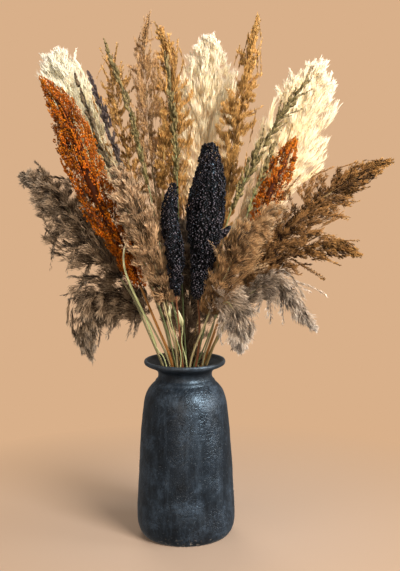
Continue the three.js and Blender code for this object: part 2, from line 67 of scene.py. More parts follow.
# ------------------------------------------------------------------ the plants, in mm
# stem: points from the foot in the vase. head: points with half width and half depth.
# side: side branches and stray wisps of the head, each a row of points.
PLANTS = {
    "black_sorghum_large": dict(r=2.4,
        stem=[(27.9, 36, 12.8), (21.5, -7.9, 241.2), (19, -25, 330), (27.7, -30, 385.9), (30.1, -48, 445.3)],
        head=[(27.4, -60, 492.6, 7.8, 7.8), (29.5, -62, 514.4, 15.5, 15.5), (35.6, -64, 557.5, 22.2, 20), (41.6, -65, 596.3, 29.9, 26.9), (41.8, -66, 642.6, 37.4, 31.8), (45.9, -66, 688.4, 36.4, 30.9), (52.8, -66, 737.8, 29.6, 26.6), (53, -66, 775.6, 20.9, 18.8), (51.2, -66, 792.5, 3.8, 3.8)],
        side=[[(68.5, -70, 613.9), (79.9, -76, 623.8), (89.4, -80, 634.5)]]),
    "black_sorghum_small": dict(r=2.0,
        stem=[(48.4, 10.8, 12.8), (12.5, -21.6, 241.2), (-1.4, -34.2, 330), (-6.7, -46, 399.2), (-11.7, -62, 455.7)],
        head=[(-15, -72, 500.4, 4.2, 4.2), (-15.7, -74, 520.1, 11.6, 11.6), (-15.3, -76, 555.2, 15.4, 15.4), (-18.7, -78, 599.7, 18.4, 18.4), (-25.9, -78, 643.7, 17.5, 17.5), (-23.7, -78, 679.8, 15.2, 15.2), (-18.7, -76, 702.4, 10.5, 10.5), (-15.8, -75, 717.5, 2.3, 2.3)],
        side=[]),
    "orange_sorghum_left": dict(r=2.8,
        stem=[(25.1, -26.3, 12.8), (-8.8, -16, 241.2), (-22, -12, 330), (-30.5, -18, 373.7), (-50.7, -24, 425.7), (-72.5, -30, 481)],
        head=[(-82, -32, 505.2, 10.8, 9.8), (-97.1, -33, 545.1, 16.7, 15), (-122.8, -32, 600.4, 20.6, 18.5), (-147.9, -28, 645.3, 26.4, 22.5), (-171.8, -24, 696.1, 32.3, 25.8), (-193.7, -18, 756.4, 35.2, 28.1), (-216.5, -12, 818.5, 34.2, 27.3), (-236.6, -7, 865, 29.3, 23.4), (-260.7, -3, 901.9, 15.6, 14), (-281.9, 0, 929.1, 2.9, 2.9)],
        side=[]),
    "orange_sorghum_right": dict(r=2.6,
        stem=[(1.6, 39.8, 12.8), (19.3, 5.3, 241.2), (26.2, -8.2, 330), (39.6, -10, 361.4), (73.4, 2, 451), (112.5, 20, 527.8)],
        head=[(125, 26, 553.5, 6.1, 6.1), (137.3, 30, 585.6, 11.1, 11.1), (153.7, 34, 633.9, 19.2, 17.3), (167.9, 36, 680.1, 24.2, 21.8), (183.9, 36, 718.1, 28.2, 24), (201.8, 36, 754, 23.1, 20.8), (215.7, 36, 783.8, 13, 13), (229.6, 36, 809.5, 2.4, 2.4)],
        side=[[(169.7, 34, 700.2), (185.3, 30, 752.1), (192.9, 28, 797.6)], [(185.7, 34, 724.2), (201.3, 30, 763.9), (211.1, 30, 797.6)], [(177.5, 30, 680.2), (201.2, 26, 700.3), (219, 26, 740)], [(157.6, 32, 656.2), (157.2, 28, 720.4), (174.9, 26, 768)]]),
    "leaf_blade": dict(r=1.6,
        stem=[(39, -39.1, 12.8), (-12.8, -24.6, 241.2), (-33, -19, 330), (-42.4, -22, 370.5)],
        head=[(-55, -26, 387.6, 3.6, 1.1), (-76.4, -38, 452.3, 3.2, 0.9), (-103.2, -50, 515.6, 3.1, 0.9), (-115.8, -56, 557.6, 2.9, 0.9), (-115.1, -58, 588.9, 2.3, 0.7), (-108.1, -58, 606.3, 1, 0.4)],
        side=[]),
    "bud_stem_left": dict(r=1.3,
        stem=[(59.4, 0.2, 12.8), (9.1, -28.5, 241.2), (-10.5, -39.6, 330), (-6.8, -46, 379.2), (-21, -52, 428.4)],
        head=[(-26.6, -54, 452.5, 3.1, 3.1), (-28.8, -55, 466.6, 4.3, 4.3), (-27.3, -55, 482.3, 1.2, 1.2)],
        side=[]),
    "bud_stem_right": dict(r=1.6,
        stem=[(53.9, 25.1, 12.8), (20.2, -22, 241.2), (7.1, -40.4, 330), (2, -48, 375.5), (-5.5, -52, 404.3)],
        head=[(-3.2, -56, 434.9, 2.9, 2.9), (-7.9, -58, 457, 5.9, 5.9), (-15.5, -60, 477.1, 1.6, 1.6)],
        side=[]),
    "grey_green_spike_left": dict(r=1.3,
        stem=[(0.6, -24.7, 12.8), (-11.8, -4, 241.2), (-16.6, 4, 330), (-30.1, 12, 398.7), (-65.8, 22, 510.3), (-104.9, 28, 631.8)],
        head=[(-132, 30, 710.2, 2.8, 2.8), (-153.2, 30, 762.1, 3.8, 3.8), (-172.4, 30, 803.8, 4.6, 4.6), (-189.2, 30, 861, 4.4, 4.4), (-203.3, 30, 898.2, 3.2, 3.2), (-214.8, 30, 937.2, 1, 1)],
        side=[]),
    "purple_spike_left": dict(r=1.3,
        stem=[(-23.8, -16.3, 12.8), (-11.4, 8.9, 241.2), (-6.6, 18.8, 330), (-18.2, 24, 396.4), (-50.1, 34, 508.7), (-85.4, 38, 631)],
        head=[(-112.7, 40, 711.8, 3, 3), (-130, 40, 760, 4.6, 4.6), (-145.3, 40, 809.9, 5.6, 5.6), (-164.1, 40, 873.2, 5.4, 5.4), (-178.4, 40, 908.6, 3.6, 3.6), (-190.7, 40, 941.9, 1, 1)],
        side=[]),
    "green_spike_tall": dict(r=1.4,
        stem=[(20.4, 2.5, 12.8), (4.3, -9.4, 241.2), (-2, -14, 330), (-7.2, -14, 403.3), (-32.2, -14, 514.6), (-52.9, -12, 624.1)],
        head=[(-65.9, -10, 697, 3.1, 3.1), (-77.2, -8, 745.9, 4.3, 4.3), (-88.3, -6, 798.5, 5.1, 5.1), (-107, -4, 868.3, 5.5, 5.5), (-123.9, -2, 922.2, 4.9, 4.9), (-140.9, 0, 962.6, 3.5, 3.5), (-153.8, 0, 998.8, 1, 1)],
        side=[]),
    "green_spike_centre": dict(r=1.5,
        stem=[(1.3, 6.4, 12.8), (3.2, 0.3, 241.2), (4, -2, 330), (0.4, 6, 399.6), (-4.9, 18, 510.4), (-10.1, 24, 621.4)],
        head=[(-12.4, 26, 705.5, 4.8, 4.8), (-14.8, 26, 771.2, 6.4, 6.4), (-18.2, 26, 836.2, 6.4, 6.4), (-24.7, 26, 889.1, 5.5, 5.5), (-30.1, 26, 937.7, 4.3, 4.3), (-34.6, 26, 980.2, 1, 1)],
        side=[]),
    "green_spike_right": dict(r=1.6,
        stem=[(14.4, 24.9, 12.8), (14.1, -3.1, 241.2), (14, -14, 330), (28.7, -12, 382.4), (53.3, -12, 483.6), (73.6, -12, 583.6)],
        head=[(89.6, -12, 650.9, 4.3, 4.3), (111.3, -12, 699.9, 7.1, 7.1), (133, -12, 748.6, 8.8, 7.9), (166.1, -12, 806.5, 9.8, 8.8), (204.9, -12, 864, 8.9, 8.1), (231.9, -12, 904, 5.8, 5.8), (252, -12, 932.4, 1.6, 1.6)],
        side=[[(216.5, -12, 881.2), (233.8, -13, 888.6), (249.2, -14, 894.2)], [(229.9, -12, 902.1), (241.7, -10, 909.8), (250.5, -9, 915.6)], [(195.2, -12, 846.8), (214.4, -15, 852.3), (231.7, -17, 857.8)], [(170, -12, 812.3), (187.3, -15, 821.7), (204.6, -17, 833.1)], [(181.7, -12, 829.6), (189.7, -8, 858.6), (195.6, -6, 889.4)], [(144.7, -12, 767.9), (152.7, -9, 795.1), (158.6, -7, 824.1)]]),
    "green_spike_right_short": dict(r=1.4,
        stem=[(-4.1, 25.6, 12.8), (11.6, 5.8, 241.2), (17.8, -1.8, 330), (36.8, 4, 379.2), (75.8, 14, 479.8), (108.3, 14, 581.1)],
        head=[(126.3, 12, 651.3, 3.6, 3.6), (142.2, 12, 697, 5.6, 5.6), (158, 10, 736.5, 7.2, 7.2), (171.6, 8, 773.8, 5.9, 5.9), (183.4, 8, 803.1, 1.6, 1.6)],
        side=[[(148.2, 12, 708.9), (163.8, 8, 728.6), (179.4, 6, 748.2)], [(159.9, 10, 740.5), (176, 14, 760.1), (193.8, 16, 816.9)]]),
    "brown_reed_short": dict(r=1.5,
        stem=[(-8.9, -12.8, 12.8), (-7.5, 2.3, 241.2), (-7, 8.2, 330), (-18, 16, 397.9), (-27.4, 26, 509.5), (-36.6, 33, 620.9)],
        head=[(-43, 36, 697.5, 8.1, 6.5), (-40.4, 36, 751.5, 13.1, 10.4), (-37.9, 36, 801.2, 13, 10.4), (-37.5, 36, 836.8, 8, 6.4), (-37.1, 36, 868.3, 1.6, 1.6)],
        side=[]),
    "beige_pampas_front": dict(r=2.2,
        stem=[(43.1, -9.5, 12.8), (2, -22.1, 241.2), (-14, -27, 330), (-16.8, -38, 387.7), (-27.8, -52, 434.4)],
        head=[(-35.1, -60, 467.4, 9.7, 7.8), (-46, -66, 511.5, 21.3, 17), (-62.6, -70, 560.6, 32.7, 24.6), (-81.1, -70, 616.7, 38.4, 26.9), (-101.6, -66, 674.1, 36.4, 25.5), (-122.4, -60, 723.6, 26.8, 18.8), (-143.3, -54, 761.7, 4.8, 3.8)],
        side=[[(-108.8, -72, 674.4), (-135, -76, 686.1), (-155.7, -76, 701.4)], [(-116.5, -66, 700.9), (-142.5, -70, 723.9), (-159.4, -70, 739.1)], [(-93.9, -76, 636.3), (-124.1, -80, 636.8), (-144.8, -80, 650.2)], [(-82.8, -78, 600.1), (-109.2, -84, 591.2), (-126.3, -84, 598.9)], [(-97.9, -60, 692.9), (-88, -58, 723.4), (-83.8, -58, 750)]]),
    "taupe_pampas_front_right": dict(r=2.2,
        stem=[(38.8, 22.8, 12.8), (16.8, -15.2, 241.2), (8.2, -29.9, 330), (13.8, -43, 372.4), (31.9, -62, 423.8)],
        head=[(44.7, -72, 455, 9.7, 8.7), (60.2, -78, 496.8, 23.1, 18.5), (85.5, -74, 550.5, 34.6, 26), (110.9, -66, 601.7, 36.6, 27.4), (142.5, -52, 637.2, 28.1, 21), (172.3, -40, 661.6, 16.5, 13.2), (202.3, -30, 672.6, 3.5, 3.5)],
        side=[[(128.5, -60, 622.4), (163.4, -58, 629.8), (194.4, -56, 641)], [(89.2, -80, 566.5), (62.4, -88, 586.6), (47.2, -90, 609.8)], [(104.7, -76, 550.6), (135.3, -78, 550.6), (158.3, -78, 558.2)]]),
    "grey_pampas_hanging_right": dict(r=2.0,
        stem=[(18.8, 53.1, 12.8), (28.3, -1, 241.2), (32, -22, 330), (40.6, -34, 382.5), (55.4, -56, 432.5)],
        head=[(64.1, -74, 470.9, 13.5, 12.2), (83.1, -88, 490.4, 24.9, 19.9), (98.1, -94, 471.8, 28.7, 21.5), (105.8, -94, 434.9, 19.2, 16.3), (109.7, -90, 393.1, 3.5, 3.5)],
        side=[[(73.6, -80, 473.7), (67.5, -88, 439.9), (71.2, -90, 411)], [(90.6, -92, 471.5), (94.2, -96, 429.5), (92.2, -96, 400.3)], [(100.1, -92, 471.5), (119.2, -94, 444.5), (123, -94, 417.3)]]),
    "golden_reed_right": dict(r=1.8,
        stem=[(-24.3, 23.5, 12.8), (7.6, 15.2, 241.2), (20, 12, 330), (18.6, 22, 396.6), (47.9, 40, 507.3), (73.1, 52, 618.9)],
        head=[(89.8, 58, 700.1, 12.2, 11), (97.1, 60, 760.7, 20.3, 17.3), (106.4, 60, 830.9, 24.3, 20.6), (118.6, 60, 896.5, 22.2, 18.9), (130.6, 60, 959.6, 19.1, 16.2), (139.6, 60, 1006.6, 12, 10.8), (150.6, 60, 1055.2, 1.8, 1.8)],
        side=[[(120.6, 60, 890.6), (138.6, 58, 908.1), (148.6, 58, 931.8)], [(114.5, 60, 860.8), (144.8, 60, 856.6), (161, 60, 868.5)]]),
    "tan_reed_left": dict(r=1.8,
        stem=[(-19.6, -39.9, 12.8), (-22.1, 3.4, 241.2), (-23.1, 20.2, 330), (-31, 40, 393.5), (-61.7, 66, 515.1), (-81.5, 74, 618.4)],
        head=[(-99.2, 78, 696.6, 12.4, 11.1), (-114.8, 80, 762.1, 21.6, 18.3), (-128.3, 82, 827.1, 28.7, 22.9), (-138.5, 82, 887.6, 30.6, 24.5), (-144.8, 82, 939.7, 24.4, 19.5), (-146, 82, 987.4, 4, 4)],
        side=[[(-144.5, 82, 951.6), (-160.4, 82, 971.6), (-170.2, 82, 989.5)], [(-142.4, 82, 959.6), (-136, 82, 979.4), (-131.6, 82, 995.2)], [(-133.2, 82, 903.6), (-112.5, 82, 923.5), (-106.1, 82, 939.4)]]),
    "taupe_reed_centre": dict(r=1.8,
        stem=[(-14.1, 1.5, 12.8), (-1.4, 7, 241.2), (3.5, 9.1, 330), (-8.1, 28, 395.6), (-26.1, 50, 506.5), (-42, 62, 598.4)],
        head=[(-53.7, 66, 670.1, 12.3, 11.1), (-63.2, 66, 731.3, 21.5, 18.2), (-69.4, 66, 802.1, 26.4, 21.2), (-73.5, 66, 882.2, 26.3, 21.1), (-76.5, 66, 957.5, 21.1, 16.9), (-75.8, 66, 1012.6, 11, 9.9), (-63.2, 66, 1061.3, 2, 2)],
        side=[]),
    "golden_reed_centre": dict(r=1.8,
        stem=[(-43.6, 8, 12.8), (-2.8, 22.1, 241.2), (13.1, 27.6, 330), (3.9, 46, 392.2), (-4, 78, 502.8), (-11.7, 94, 606.1)],
        head=[(-16.4, 100, 678.8, 10.4, 9.4), (-21, 102, 751.3, 19.7, 16.8), (-21.3, 102, 833.3, 24.8, 19.9), (-22.6, 102, 908.5, 25.7, 20.6), (-28.2, 102, 969, 21.5, 17.2), (-40.9, 100, 1012.8, 10.2, 9.2), (-64.9, 98, 1052.4, 2, 2)],
        side=[[(-23.2, 100, 944.6), (-10.7, 100, 972.7), (-10.4, 100, 1004.6)], [(-19.4, 100, 914.4), (-2.8, 100, 940.5), (-0.5, 100, 960.6)]]),
    "brown_plume_right": dict(r=2.4,
        stem=[(-3.1, 56.2, 12.8), (26.5, 10, 241.2), (38, -8, 330), (48.7, -12, 365.9), (82.9, -20, 450.4)],
        head=[(112.6, -26, 505.2, 8.9, 8.9), (148, -28, 558.9, 21.7, 19.5), (191, -28, 613.9, 36.3, 27.2), (240, -26, 660.5, 43.1, 30.2), (293, -22, 699, 39.1, 27.4), (340.2, -18, 725.9, 28.4, 21.3), (379.7, -14, 747.1, 14.7, 13.2), (415.2, -12, 758.5, 3.1, 3.1)],
        side=[[(316.1, -24, 700.9), (341.2, -26, 700.8), (362.3, -28, 706.6)], [(271.6, -24, 654.3), (298.8, -26, 650.3), (324.3, -26, 648.2)], [(287.7, -20, 665.8), (317.4, -18, 673.3), (342.8, -18, 679.1)], [(228.7, -24, 619.2), (260, -26, 611.3), (289.5, -26, 611.1)], [(327.2, -14, 716.2), (362.7, -12, 727.7), (392.5, -10, 733.3)]]),
    "brown_plume_lower_right": dict(r=2.2,
        stem=[(-33.9, 48, 12.8), (17.9, 23.5, 241.2), (38, 14, 330), (53.2, 24, 375.2), (84.3, 34, 431.4)],
        head=[(113.2, 38, 474.1, 8.2, 8.2), (150.3, 42, 518.8, 18.4, 16.6), (197.2, 42, 559.6, 28.6, 21.4), (245.8, 40, 580, 31.6, 22.1), (296.1, 36, 584.1, 22.4, 17.9), (336.6, 34, 575.9, 12.2, 12.2), (362.8, 32, 563.7, 3, 3)],
        side=[[(285.6, 34, 594.5), (323.8, 32, 598.5), (357.9, 30, 596.4)], [(266.1, 38, 565.7), (292.4, 36, 553.5), (318.6, 34, 547.4)], [(235.6, 38, 553.6), (262, 36, 533.2), (288.5, 34, 514.8)], [(296.2, 36, 578), (328.6, 36, 583.9), (353.1, 36, 579.7)]]),
    "taupe_plume_drooping_right": dict(r=2.0,
        stem=[(-16.6, 45.1, 12.8), (19.1, 14.8, 241.2), (33, 3, 330), (47.8, 0, 367.6), (77.2, -4, 419.4)],
        head=[(105.2, -10, 462.8, 8, 8), (140.5, -22, 504.5, 17.8, 15.2), (173.5, -30, 519.3, 25.6, 20.5), (200.9, -34, 501.8, 25.6, 20.5), (222.6, -36, 472.1, 15.8, 14.2), (264.2, -38, 424.1, 3, 3)],
        side=[[(181.4, -30, 533.2), (228.5, -32, 527.2), (279.8, -34, 495.3)], [(169.6, -30, 509.4), (173.4, -34, 474.1), (169.4, -36, 442.4)], [(193, -34, 501.8), (196.9, -36, 468.2), (194.9, -38, 436.6)], [(154.1, -26, 513), (153.9, -30, 485.6), (145.9, -32, 461.9)]]),
    "taupe_pampas_left": dict(r=2.2,
        stem=[(22.7, -51, 12.8), (-21, -18.6, 241.2), (-38, -6, 330), (-48.9, -10, 362), (-75.1, -14, 426.1), (-100.2, -14, 486.9)],
        head=[(-126, -8, 526.5, 17.9, 12.6), (-157.9, 0, 565.9, 38, 26.6), (-189.9, 8, 607.5, 58, 37.7), (-221.7, 14, 651.4, 58, 37.7), (-259.3, 18, 693.3, 38, 26.6), (-294.8, 20, 721.3, 19, 15.2), (-330.3, 20, 739.4, 4, 4)],
        side=[[(-247.8, 16, 659.4), (-265.4, 18, 611.3), (-271, 18, 546.6)], [(-218.3, 12, 613.4), (-229.3, 12, 573.3), (-236.1, 12, 539)], [(-266.9, 18, 707.3), (-283.6, 20, 691.4), (-296.1, 20, 673.5)], [(-290.7, 20, 727.3), (-311.1, 22, 723.4), (-327.3, 22, 715.5)], [(-188.4, 6, 573.6), (-201.2, 6, 535.4), (-209.8, 6, 509.1)], [(-276.7, 22, 739.1), (-286.7, 24, 751), (-294.5, 24, 757)], [(-243.8, 20, 683.2), (-269.1, 22, 647.2), (-280.1, 22, 611.1)]]),
    "taupe_pampas_lower_left": dict(r=2.2,
        stem=[(-0.7, -42.2, 12.8), (-20.4, -6.1, 241.2), (-28, 8, 330), (-36.6, 12, 365.7), (-58.7, 18, 410.2)],
        head=[(-78.9, 24, 446.4, 12.2, 11), (-109.3, 28, 476.9, 28.5, 24.2), (-146, 32, 493.1, 42.8, 32.1), (-179.1, 34, 480.6, 45, 33.7), (-202.1, 32, 443.9, 30.7, 26.1), (-200.9, 30, 394.4, 16.4, 14.8), (-191.3, 28, 353, 3.7, 3.7)],
        side=[[(-196.9, 32, 499.5), (-225.8, 34, 497.4), (-250.5, 34, 487.3)], [(-136.2, 32, 472.4), (-149.1, 32, 433.2), (-157.9, 32, 400)], [(-99.3, 28, 466.6), (-109.9, 28, 433.6), (-118.7, 28, 396.3)], [(-95.1, 26, 462.7), (-99.6, 26, 433.9), (-104.1, 26, 404.9)], [(-190, 32, 437.6), (-215, 32, 417), (-221.5, 32, 400.4)], [(-198.6, 30, 406.8), (-195, 29, 375.8), (-189.2, 28, 350.9)], [(-165.1, 34, 466.1), (-174.1, 34, 420.5), (-178.9, 34, 385.1)], [(-188.5, 34, 523.9), (-213.1, 36, 527.9), (-237.6, 36, 526)]]),
    "taupe_pampas_centre_low": dict(r=1.8,
        stem=[(-29.2, 3, 12.8), (-3, 14.4, 241.2), (7.2, 18.9, 330), (4, 22, 367.6)],
        head=[(4.1, 26, 385.5, 10.2, 7.2), (6.4, 30, 422.2, 34.8, 17.4), (8.8, 34, 473.3, 51.1, 21.5), (7.2, 37, 538.8, 51, 21.4), (3.6, 38, 600, 34.5, 17.3), (2, 38, 652.8, 6.1, 6.1)],
        side=[]),
    "cream_pampas_left": dict(r=2.0,
        stem=[(-28.9, -52, 12.8), (-29.3, 6, 241.2), (-29.4, 28.5, 330), (-35.5, 50, 391.7), (-73.1, 84, 502.5), (-112.4, 100, 606.3)],
        head=[(-144.8, 104, 689.9, 16.7, 13.4), (-179.3, 108, 766.7, 29.1, 21.9), (-211.2, 110, 841, 39.4, 29.6), (-239, 112, 906.5, 45.5, 31.9), (-258.4, 112, 959.3, 39.2, 27.4), (-265.8, 112, 993.6, 10.3, 10.3)],
        side=[[(-243, 110, 902.3), (-271.4, 112, 935.1), (-293.4, 112, 963.6)], [(-234.7, 112, 914.6), (-225.5, 112, 955.1), (-220.7, 112, 987.3)], [(-254.8, 110, 926.7), (-279.1, 112, 955.4), (-286.8, 112, 977.6)]]),
    "cream_pampas_right": dict(r=2.0,
        stem=[(-43.4, 27.4, 12.8), (6.6, 25, 241.2), (26, 24, 330), (30.8, 46, 392.1), (73.3, 84, 501.6), (115.9, 100, 594.4)],
        head=[(149.8, 106, 656.7, 25.1, 20.1), (185.6, 112, 718.9, 46, 34.5), (221.2, 116, 791.2, 60.5, 42.4), (245.9, 118, 859.1, 62.4, 43.7), (268.3, 118, 920.2, 45.6, 34.2), (290.6, 118, 972.8, 6.2, 6.2)],
        side=[[(216.6, 116, 863.2), (204, 116, 891.9), (193.5, 116, 910.3)], [(241.5, 118, 893.9), (226.8, 118, 924.5), (220.5, 118, 944.9)], [(283, 118, 893.6), (303.6, 118, 915.9), (309.5, 118, 938.3)], [(279.1, 118, 867.1), (299.7, 118, 887.4), (309.8, 118, 911.8)], [(242, 114, 760), (275.3, 114, 780.5), (295.9, 114, 805.2)]]),
    "cream_pampas_centre": dict(r=2.2,
        stem=[(-37.6, -9.6, 12.8), (-10.3, 16.6, 241.2), (0.3, 26.8, 330), (5.7, 70, 387.8), (18.8, 110, 498.7), (29.8, 122, 572)],
        head=[(36.5, 128, 624.6, 27.6, 22.1), (43.3, 134, 698.3, 46.6, 35), (48, 138, 782.2, 59.1, 41.4), (49.5, 140, 865.5, 59.9, 41.9), (50.9, 140, 937.7, 52.3, 36.6), (51.2, 138, 988.7, 35.4, 26.6), (49.3, 136, 1025, 6.2, 6.2)],
        side=[[(23.7, 140, 927.6), (13.5, 138, 964.4), (26.2, 138, 999)], [(80.2, 140, 917), (101.1, 140, 885.9), (107.4, 140, 902.4)], [(12.7, 140, 865.8), (-5.8, 140, 907.2), (-9.8, 140, 936)]]),
}

# ------------------------------------------------------------------ colour helpers


def lin(c):
    """sRGB 0..255 -> linear"""
    out = []
    for v in c:
        v = v / 255.0
        out.append(v / 12.92 if v <= 0.04045 else ((v + 0.055) / 1.055) ** 2.4)
    return (*out, 1.0)


class Nodes:
    """A material's node tree, with short calls for the nodes used here."""

    def __init__(self, name):
        self.mat = bpy.data.materials.new(name)
        self.mat.use_nodes = True
        self.t = self.mat.node_tree
        self.t.nodes.clear()
        self.out = self.t.nodes.new("ShaderNodeOutputMaterial")
        self.bsdf = self.t.nodes.new("ShaderNodeBsdfPrincipled")
        self.t.links.new(self.bsdf.outputs[0], self.out.inputs[0])

    def new(self, kind, **kw):
        n = self.t.nodes.new(kind)
        for k, v in kw.items():
            setattr(n, k, v)
        return n

    def link(self, a, b):
        self.t.links.new(a, b)

    def val(self, socket, x):
        if hasattr(x, "is_linked") or hasattr(x, "links"):
            self.link(x, socket)
        else:
            socket.default_value = x

    def math(self, op, a, b=0.0, clamp=False):
        n = self.new("ShaderNodeMath", operation=op, use_clamp=clamp)
        self.val(n.inputs[0], a)
        self.val(n.inputs[1], b)
        return n.outputs[0]

    def ramp(self, fac, stops, mode="LINEAR"):
        n = self.new("ShaderNodeValToRGB")
        n.color_ramp.interpolation = mode
        e = n.color_ramp.elements
        while len(e) < len(stops):
            e.new(0.5)
        for el, (p, c) in zip(e, stops):
            el.position = p
            el.color = c if len(c) == 4 else (*c, 1)
        self.link(fac, n.inputs[0])
        return n.outputs[0]

    def grey(self, fac, stops):
        return self.ramp(fac, [(p, (v, v, v, 1)) for p, v in stops])

    def mix(self, fac, a, b, blend="MIX"):
        n = self.new("ShaderNodeMix", data_type="RGBA", blend_type=blend)
        self.val(n.inputs[0], fac)
        self.val(n.inputs[6], a)
        self.val(n.inputs[7], b)
        return n.outputs[2]


def plant_material(name, dark, light, stem, rough=0.8, sheen=0.0, spec=0.14):
    """Colour by the fibre map: u below a half is a head's fibre or grain, from its darkest to its palest (random tone,
    plus painted shade on branches deep inside a head and a painted highlight on grains), above a half a stem; v runs
    from the root or the low end to the tip, on round grains from the side facing in to the side facing out. Each ramp
    is a row of sRGB colours."""
    k = Nodes(name)
    uv = k.new("ShaderNodeUVMap", uv_map="OFBake")
    sep = k.new("ShaderNodeSeparateXYZ")
    k.link(uv.outputs[0], sep.inputs[0])
    u, v = sep.outputs[0], sep.outputs[1]

    def ramp(cols):
        n = len(cols) - 1
        return k.ramp(v, [(i / n, lin(c)) for i, c in enumerate(cols)])

    shade = k.math("MULTIPLY", u, 2.0, clamp=True)
    head = k.mix(shade, ramp(dark), ramp(light))
    s2 = k.math("MULTIPLY", k.math("SUBTRACT", u, 0.5), 2.0, clamp=True)
    n = len(stem) // 2
    stem_col = k.mix(s2, ramp(stem[:n]), ramp(stem[n:]))
    is_stem = k.math("GREATER_THAN", u, 0.5)
    k.link(k.mix(is_stem, head, stem_col), k.bsdf.inputs["Base Color"])
    rr = k.grey(u, [(0.0, rough), (0.49, max(rough - 0.12, 0.2)), (0.51, 0.55), (1.0, 0.45)])
    k.link(rr, k.bsdf.inputs["Roughness"])
    k.bsdf.inputs["Specular IOR Level"].default_value = spec
    if sheen:
        k.bsdf.inputs["Sheen Weight"].default_value = sheen
        k.bsdf.inputs["Sheen Roughness"].default_value = 0.4
    return k.mat


# ------------------------------------------------------------------ mesh helpers


class Build:
    """Joined mesh from arrays: vertices, triangles and one (u, v) per vertex."""

    def __init__(self):
        self.v, self.f, self.uv, self.n = [], [], [], 0

    def add(self, v, f, uv):
        self.v.append(np.asarray(v, np.float32))
        self.f.append(np.asarray(f, np.int64) + self.n)
        self.uv.append(np.asarray(uv, np.float32))
        self.n += len(v)

    def triangles(self):
        return sum(len(f) for f in self.f)

    def make(self, name, mat):
        v, f, uv = np.concatenate(self.v), np.concatenate(self.f), np.concatenate(self.uv)
        me = bpy.data.meshes.new(name)
        me.vertices.add(len(v))
        me.vertices.foreach_set("co", v.ravel())
        me.loops.add(f.size)
        me.loops.foreach_set("vertex_index", f.ravel().astype(np.int32))
        me.polygons.add(len(f))
        me.polygons.foreach_set("loop_start", np.arange(0, f.size, 3, dtype=np.int32))
        me.polygons.foreach_set("use_smooth", np.ones(len(f), bool))
        layer = me.uv_layers.new(name="OFBake")
        layer.data.foreach_set("uv", uv[f.ravel()].ravel())
        me.update(calc_edges=True)
        me.validate()
        me.materials.append(mat)
        ob = bpy.data.objects.new(name, me)
        scene.collection.objects.link(ob)
        return ob


def unit(a):
    return a / np.maximum(np.linalg.norm(a, axis=-1, keepdims=True), 1e-12)


def strands(pts, rad, u, v, sides=3, ref=None):
    """Closed spindles. pts (n, k, 3) along each strand, rad (n, k) with pointed ends, u (n,), v (n, k)."""
    n, k, _ = pts.shape
    if ref is None:
        ref = np.tile(np.array([0.31, 0.87, 0.38]), (n, 1))
    if sides == 2:  # a flat fibre, widest in its middle
        w = unit(np.cross(pts[:, 2] - pts[:, 0], ref)) * rad[:, 1:2]
        V = np.stack([pts[:, 0], pts[:, 1] + w, pts[:, 1] - w, pts[:, 2]], 1)
        UV = np.stack([np.repeat(u[:, None], 4, 1), v[:, [0, 1, 1, 2]]], 2)
        F = (np.array([(0, 1, 2), (1, 3, 2)])[None] + (np.arange(n) * 4)[:, None, None]).reshape(-1, 3)
        return V.reshape(-1, 3), F, UV.reshape(-1, 2)
    inner = k - 2
    d = unit(pts[:, 2:] - pts[:, :-2])
    a = unit(np.cross(d, ref[:, None, :]))
    b = np.cross(d, a)
    ang = np.arange(sides) / sides * 2 * np.pi
    ring = (
        pts[:, 1:-1, None, :]
        + rad[:, 1:-1, None, None]
        * (a[:, :, None, :] * np.cos(ang)[None, None, :, None] + b[:, :, None, :] * np.sin(ang)[None, None, :, None])
    )
    per = inner * sides + 2
    V = np.empty((n, per, 3))
    V[:, 0] = pts[:, 0]
    V[:, 1:-1] = ring.reshape(n, inner * sides, 3)
    V[:, -1] = pts[:, -1]
    UV = np.empty((n, per, 2))
    UV[:, :, 0] = u[:, None]
    UV[:, 0, 1] = v[:, 0]
    UV[:, 1:-1, 1] = np.repeat(v[:, 1:-1], sides, axis=1)
    UV[:, -1, 1] = v[:, -1]
    tri = []
    j = np.arange(sides)
    j2 = (j + 1) % sides
    first, last = 1, 1 + (inner - 1) * sides
    for x, y in zip(j, j2):
        tri.append((0, first + y, first + x))
    for r in range(inner - 1):
        p, q = 1 + r * sides, 1 + (r + 1) * sides
        for x, y in zip(j, j2):
            tri.append((p + x, p + y, q + y))
            tri.append((p + x, q + y, q + x))
    for x, y in zip(j, j2):
        tri.append((last + x, last + y, per - 1))
    tri = np.array(tri)
    F = (tri[None] + (np.arange(n) * per)[:, None, None]).reshape(-1, 3)
    return V.reshape(-1, 3), F, UV.reshape(-1, 2)


def crom(P, k):
    """Centripetal Catmull-Rom through the rows of P, k samples a span. Columns past the third ride along."""
    P = np.asarray(P, float)
    n = len(P)
    res, idx = [], []
    for i in range(n - 1):
        p1, p2 = P[i], P[i + 1]
        p0 = P[i - 1] if i > 0 else 2 * P[0] - P[1]
        p3 = P[i + 2] if i + 2 < n else 2 * P[-1] - P[-2]
        d0, d1, d2 = (max(np.sum((b - a)[:3] ** 2) ** 0.25, 1e-6) for a, b in ((p0, p1), (p1, p2), (p2, p3)))
        t1 = ((p1 - p0) / d0 - (p2 - p0) / (d0 + d1) + (p2 - p1) / d1) * d1
        t2 = ((p2 - p1) / d1 - (p3 - p1) / (d1 + d2) + (p3 - p2) / d2) * d1
        for j in range(k):
            t = j / k
            res.append(p1 + t1 * t + (-3 * p1 + 3 * p2 - 2 * t1 - t2) * t * t + (2 * p1 - 2 * p2 + t1 + t2) * t**3)
    res.append(P[-1])
    return np.array(res)


def resample(Q, n):
    s = np.r_[0, np.cumsum(np.linalg.norm(np.diff(Q[:, :3], axis=0), axis=1))]
    w = np.linspace(0, s[-1], n)
    return np.stack([np.interp(w, s, Q[:, c]) for c in range(Q.shape[1])], 1), s[-1]


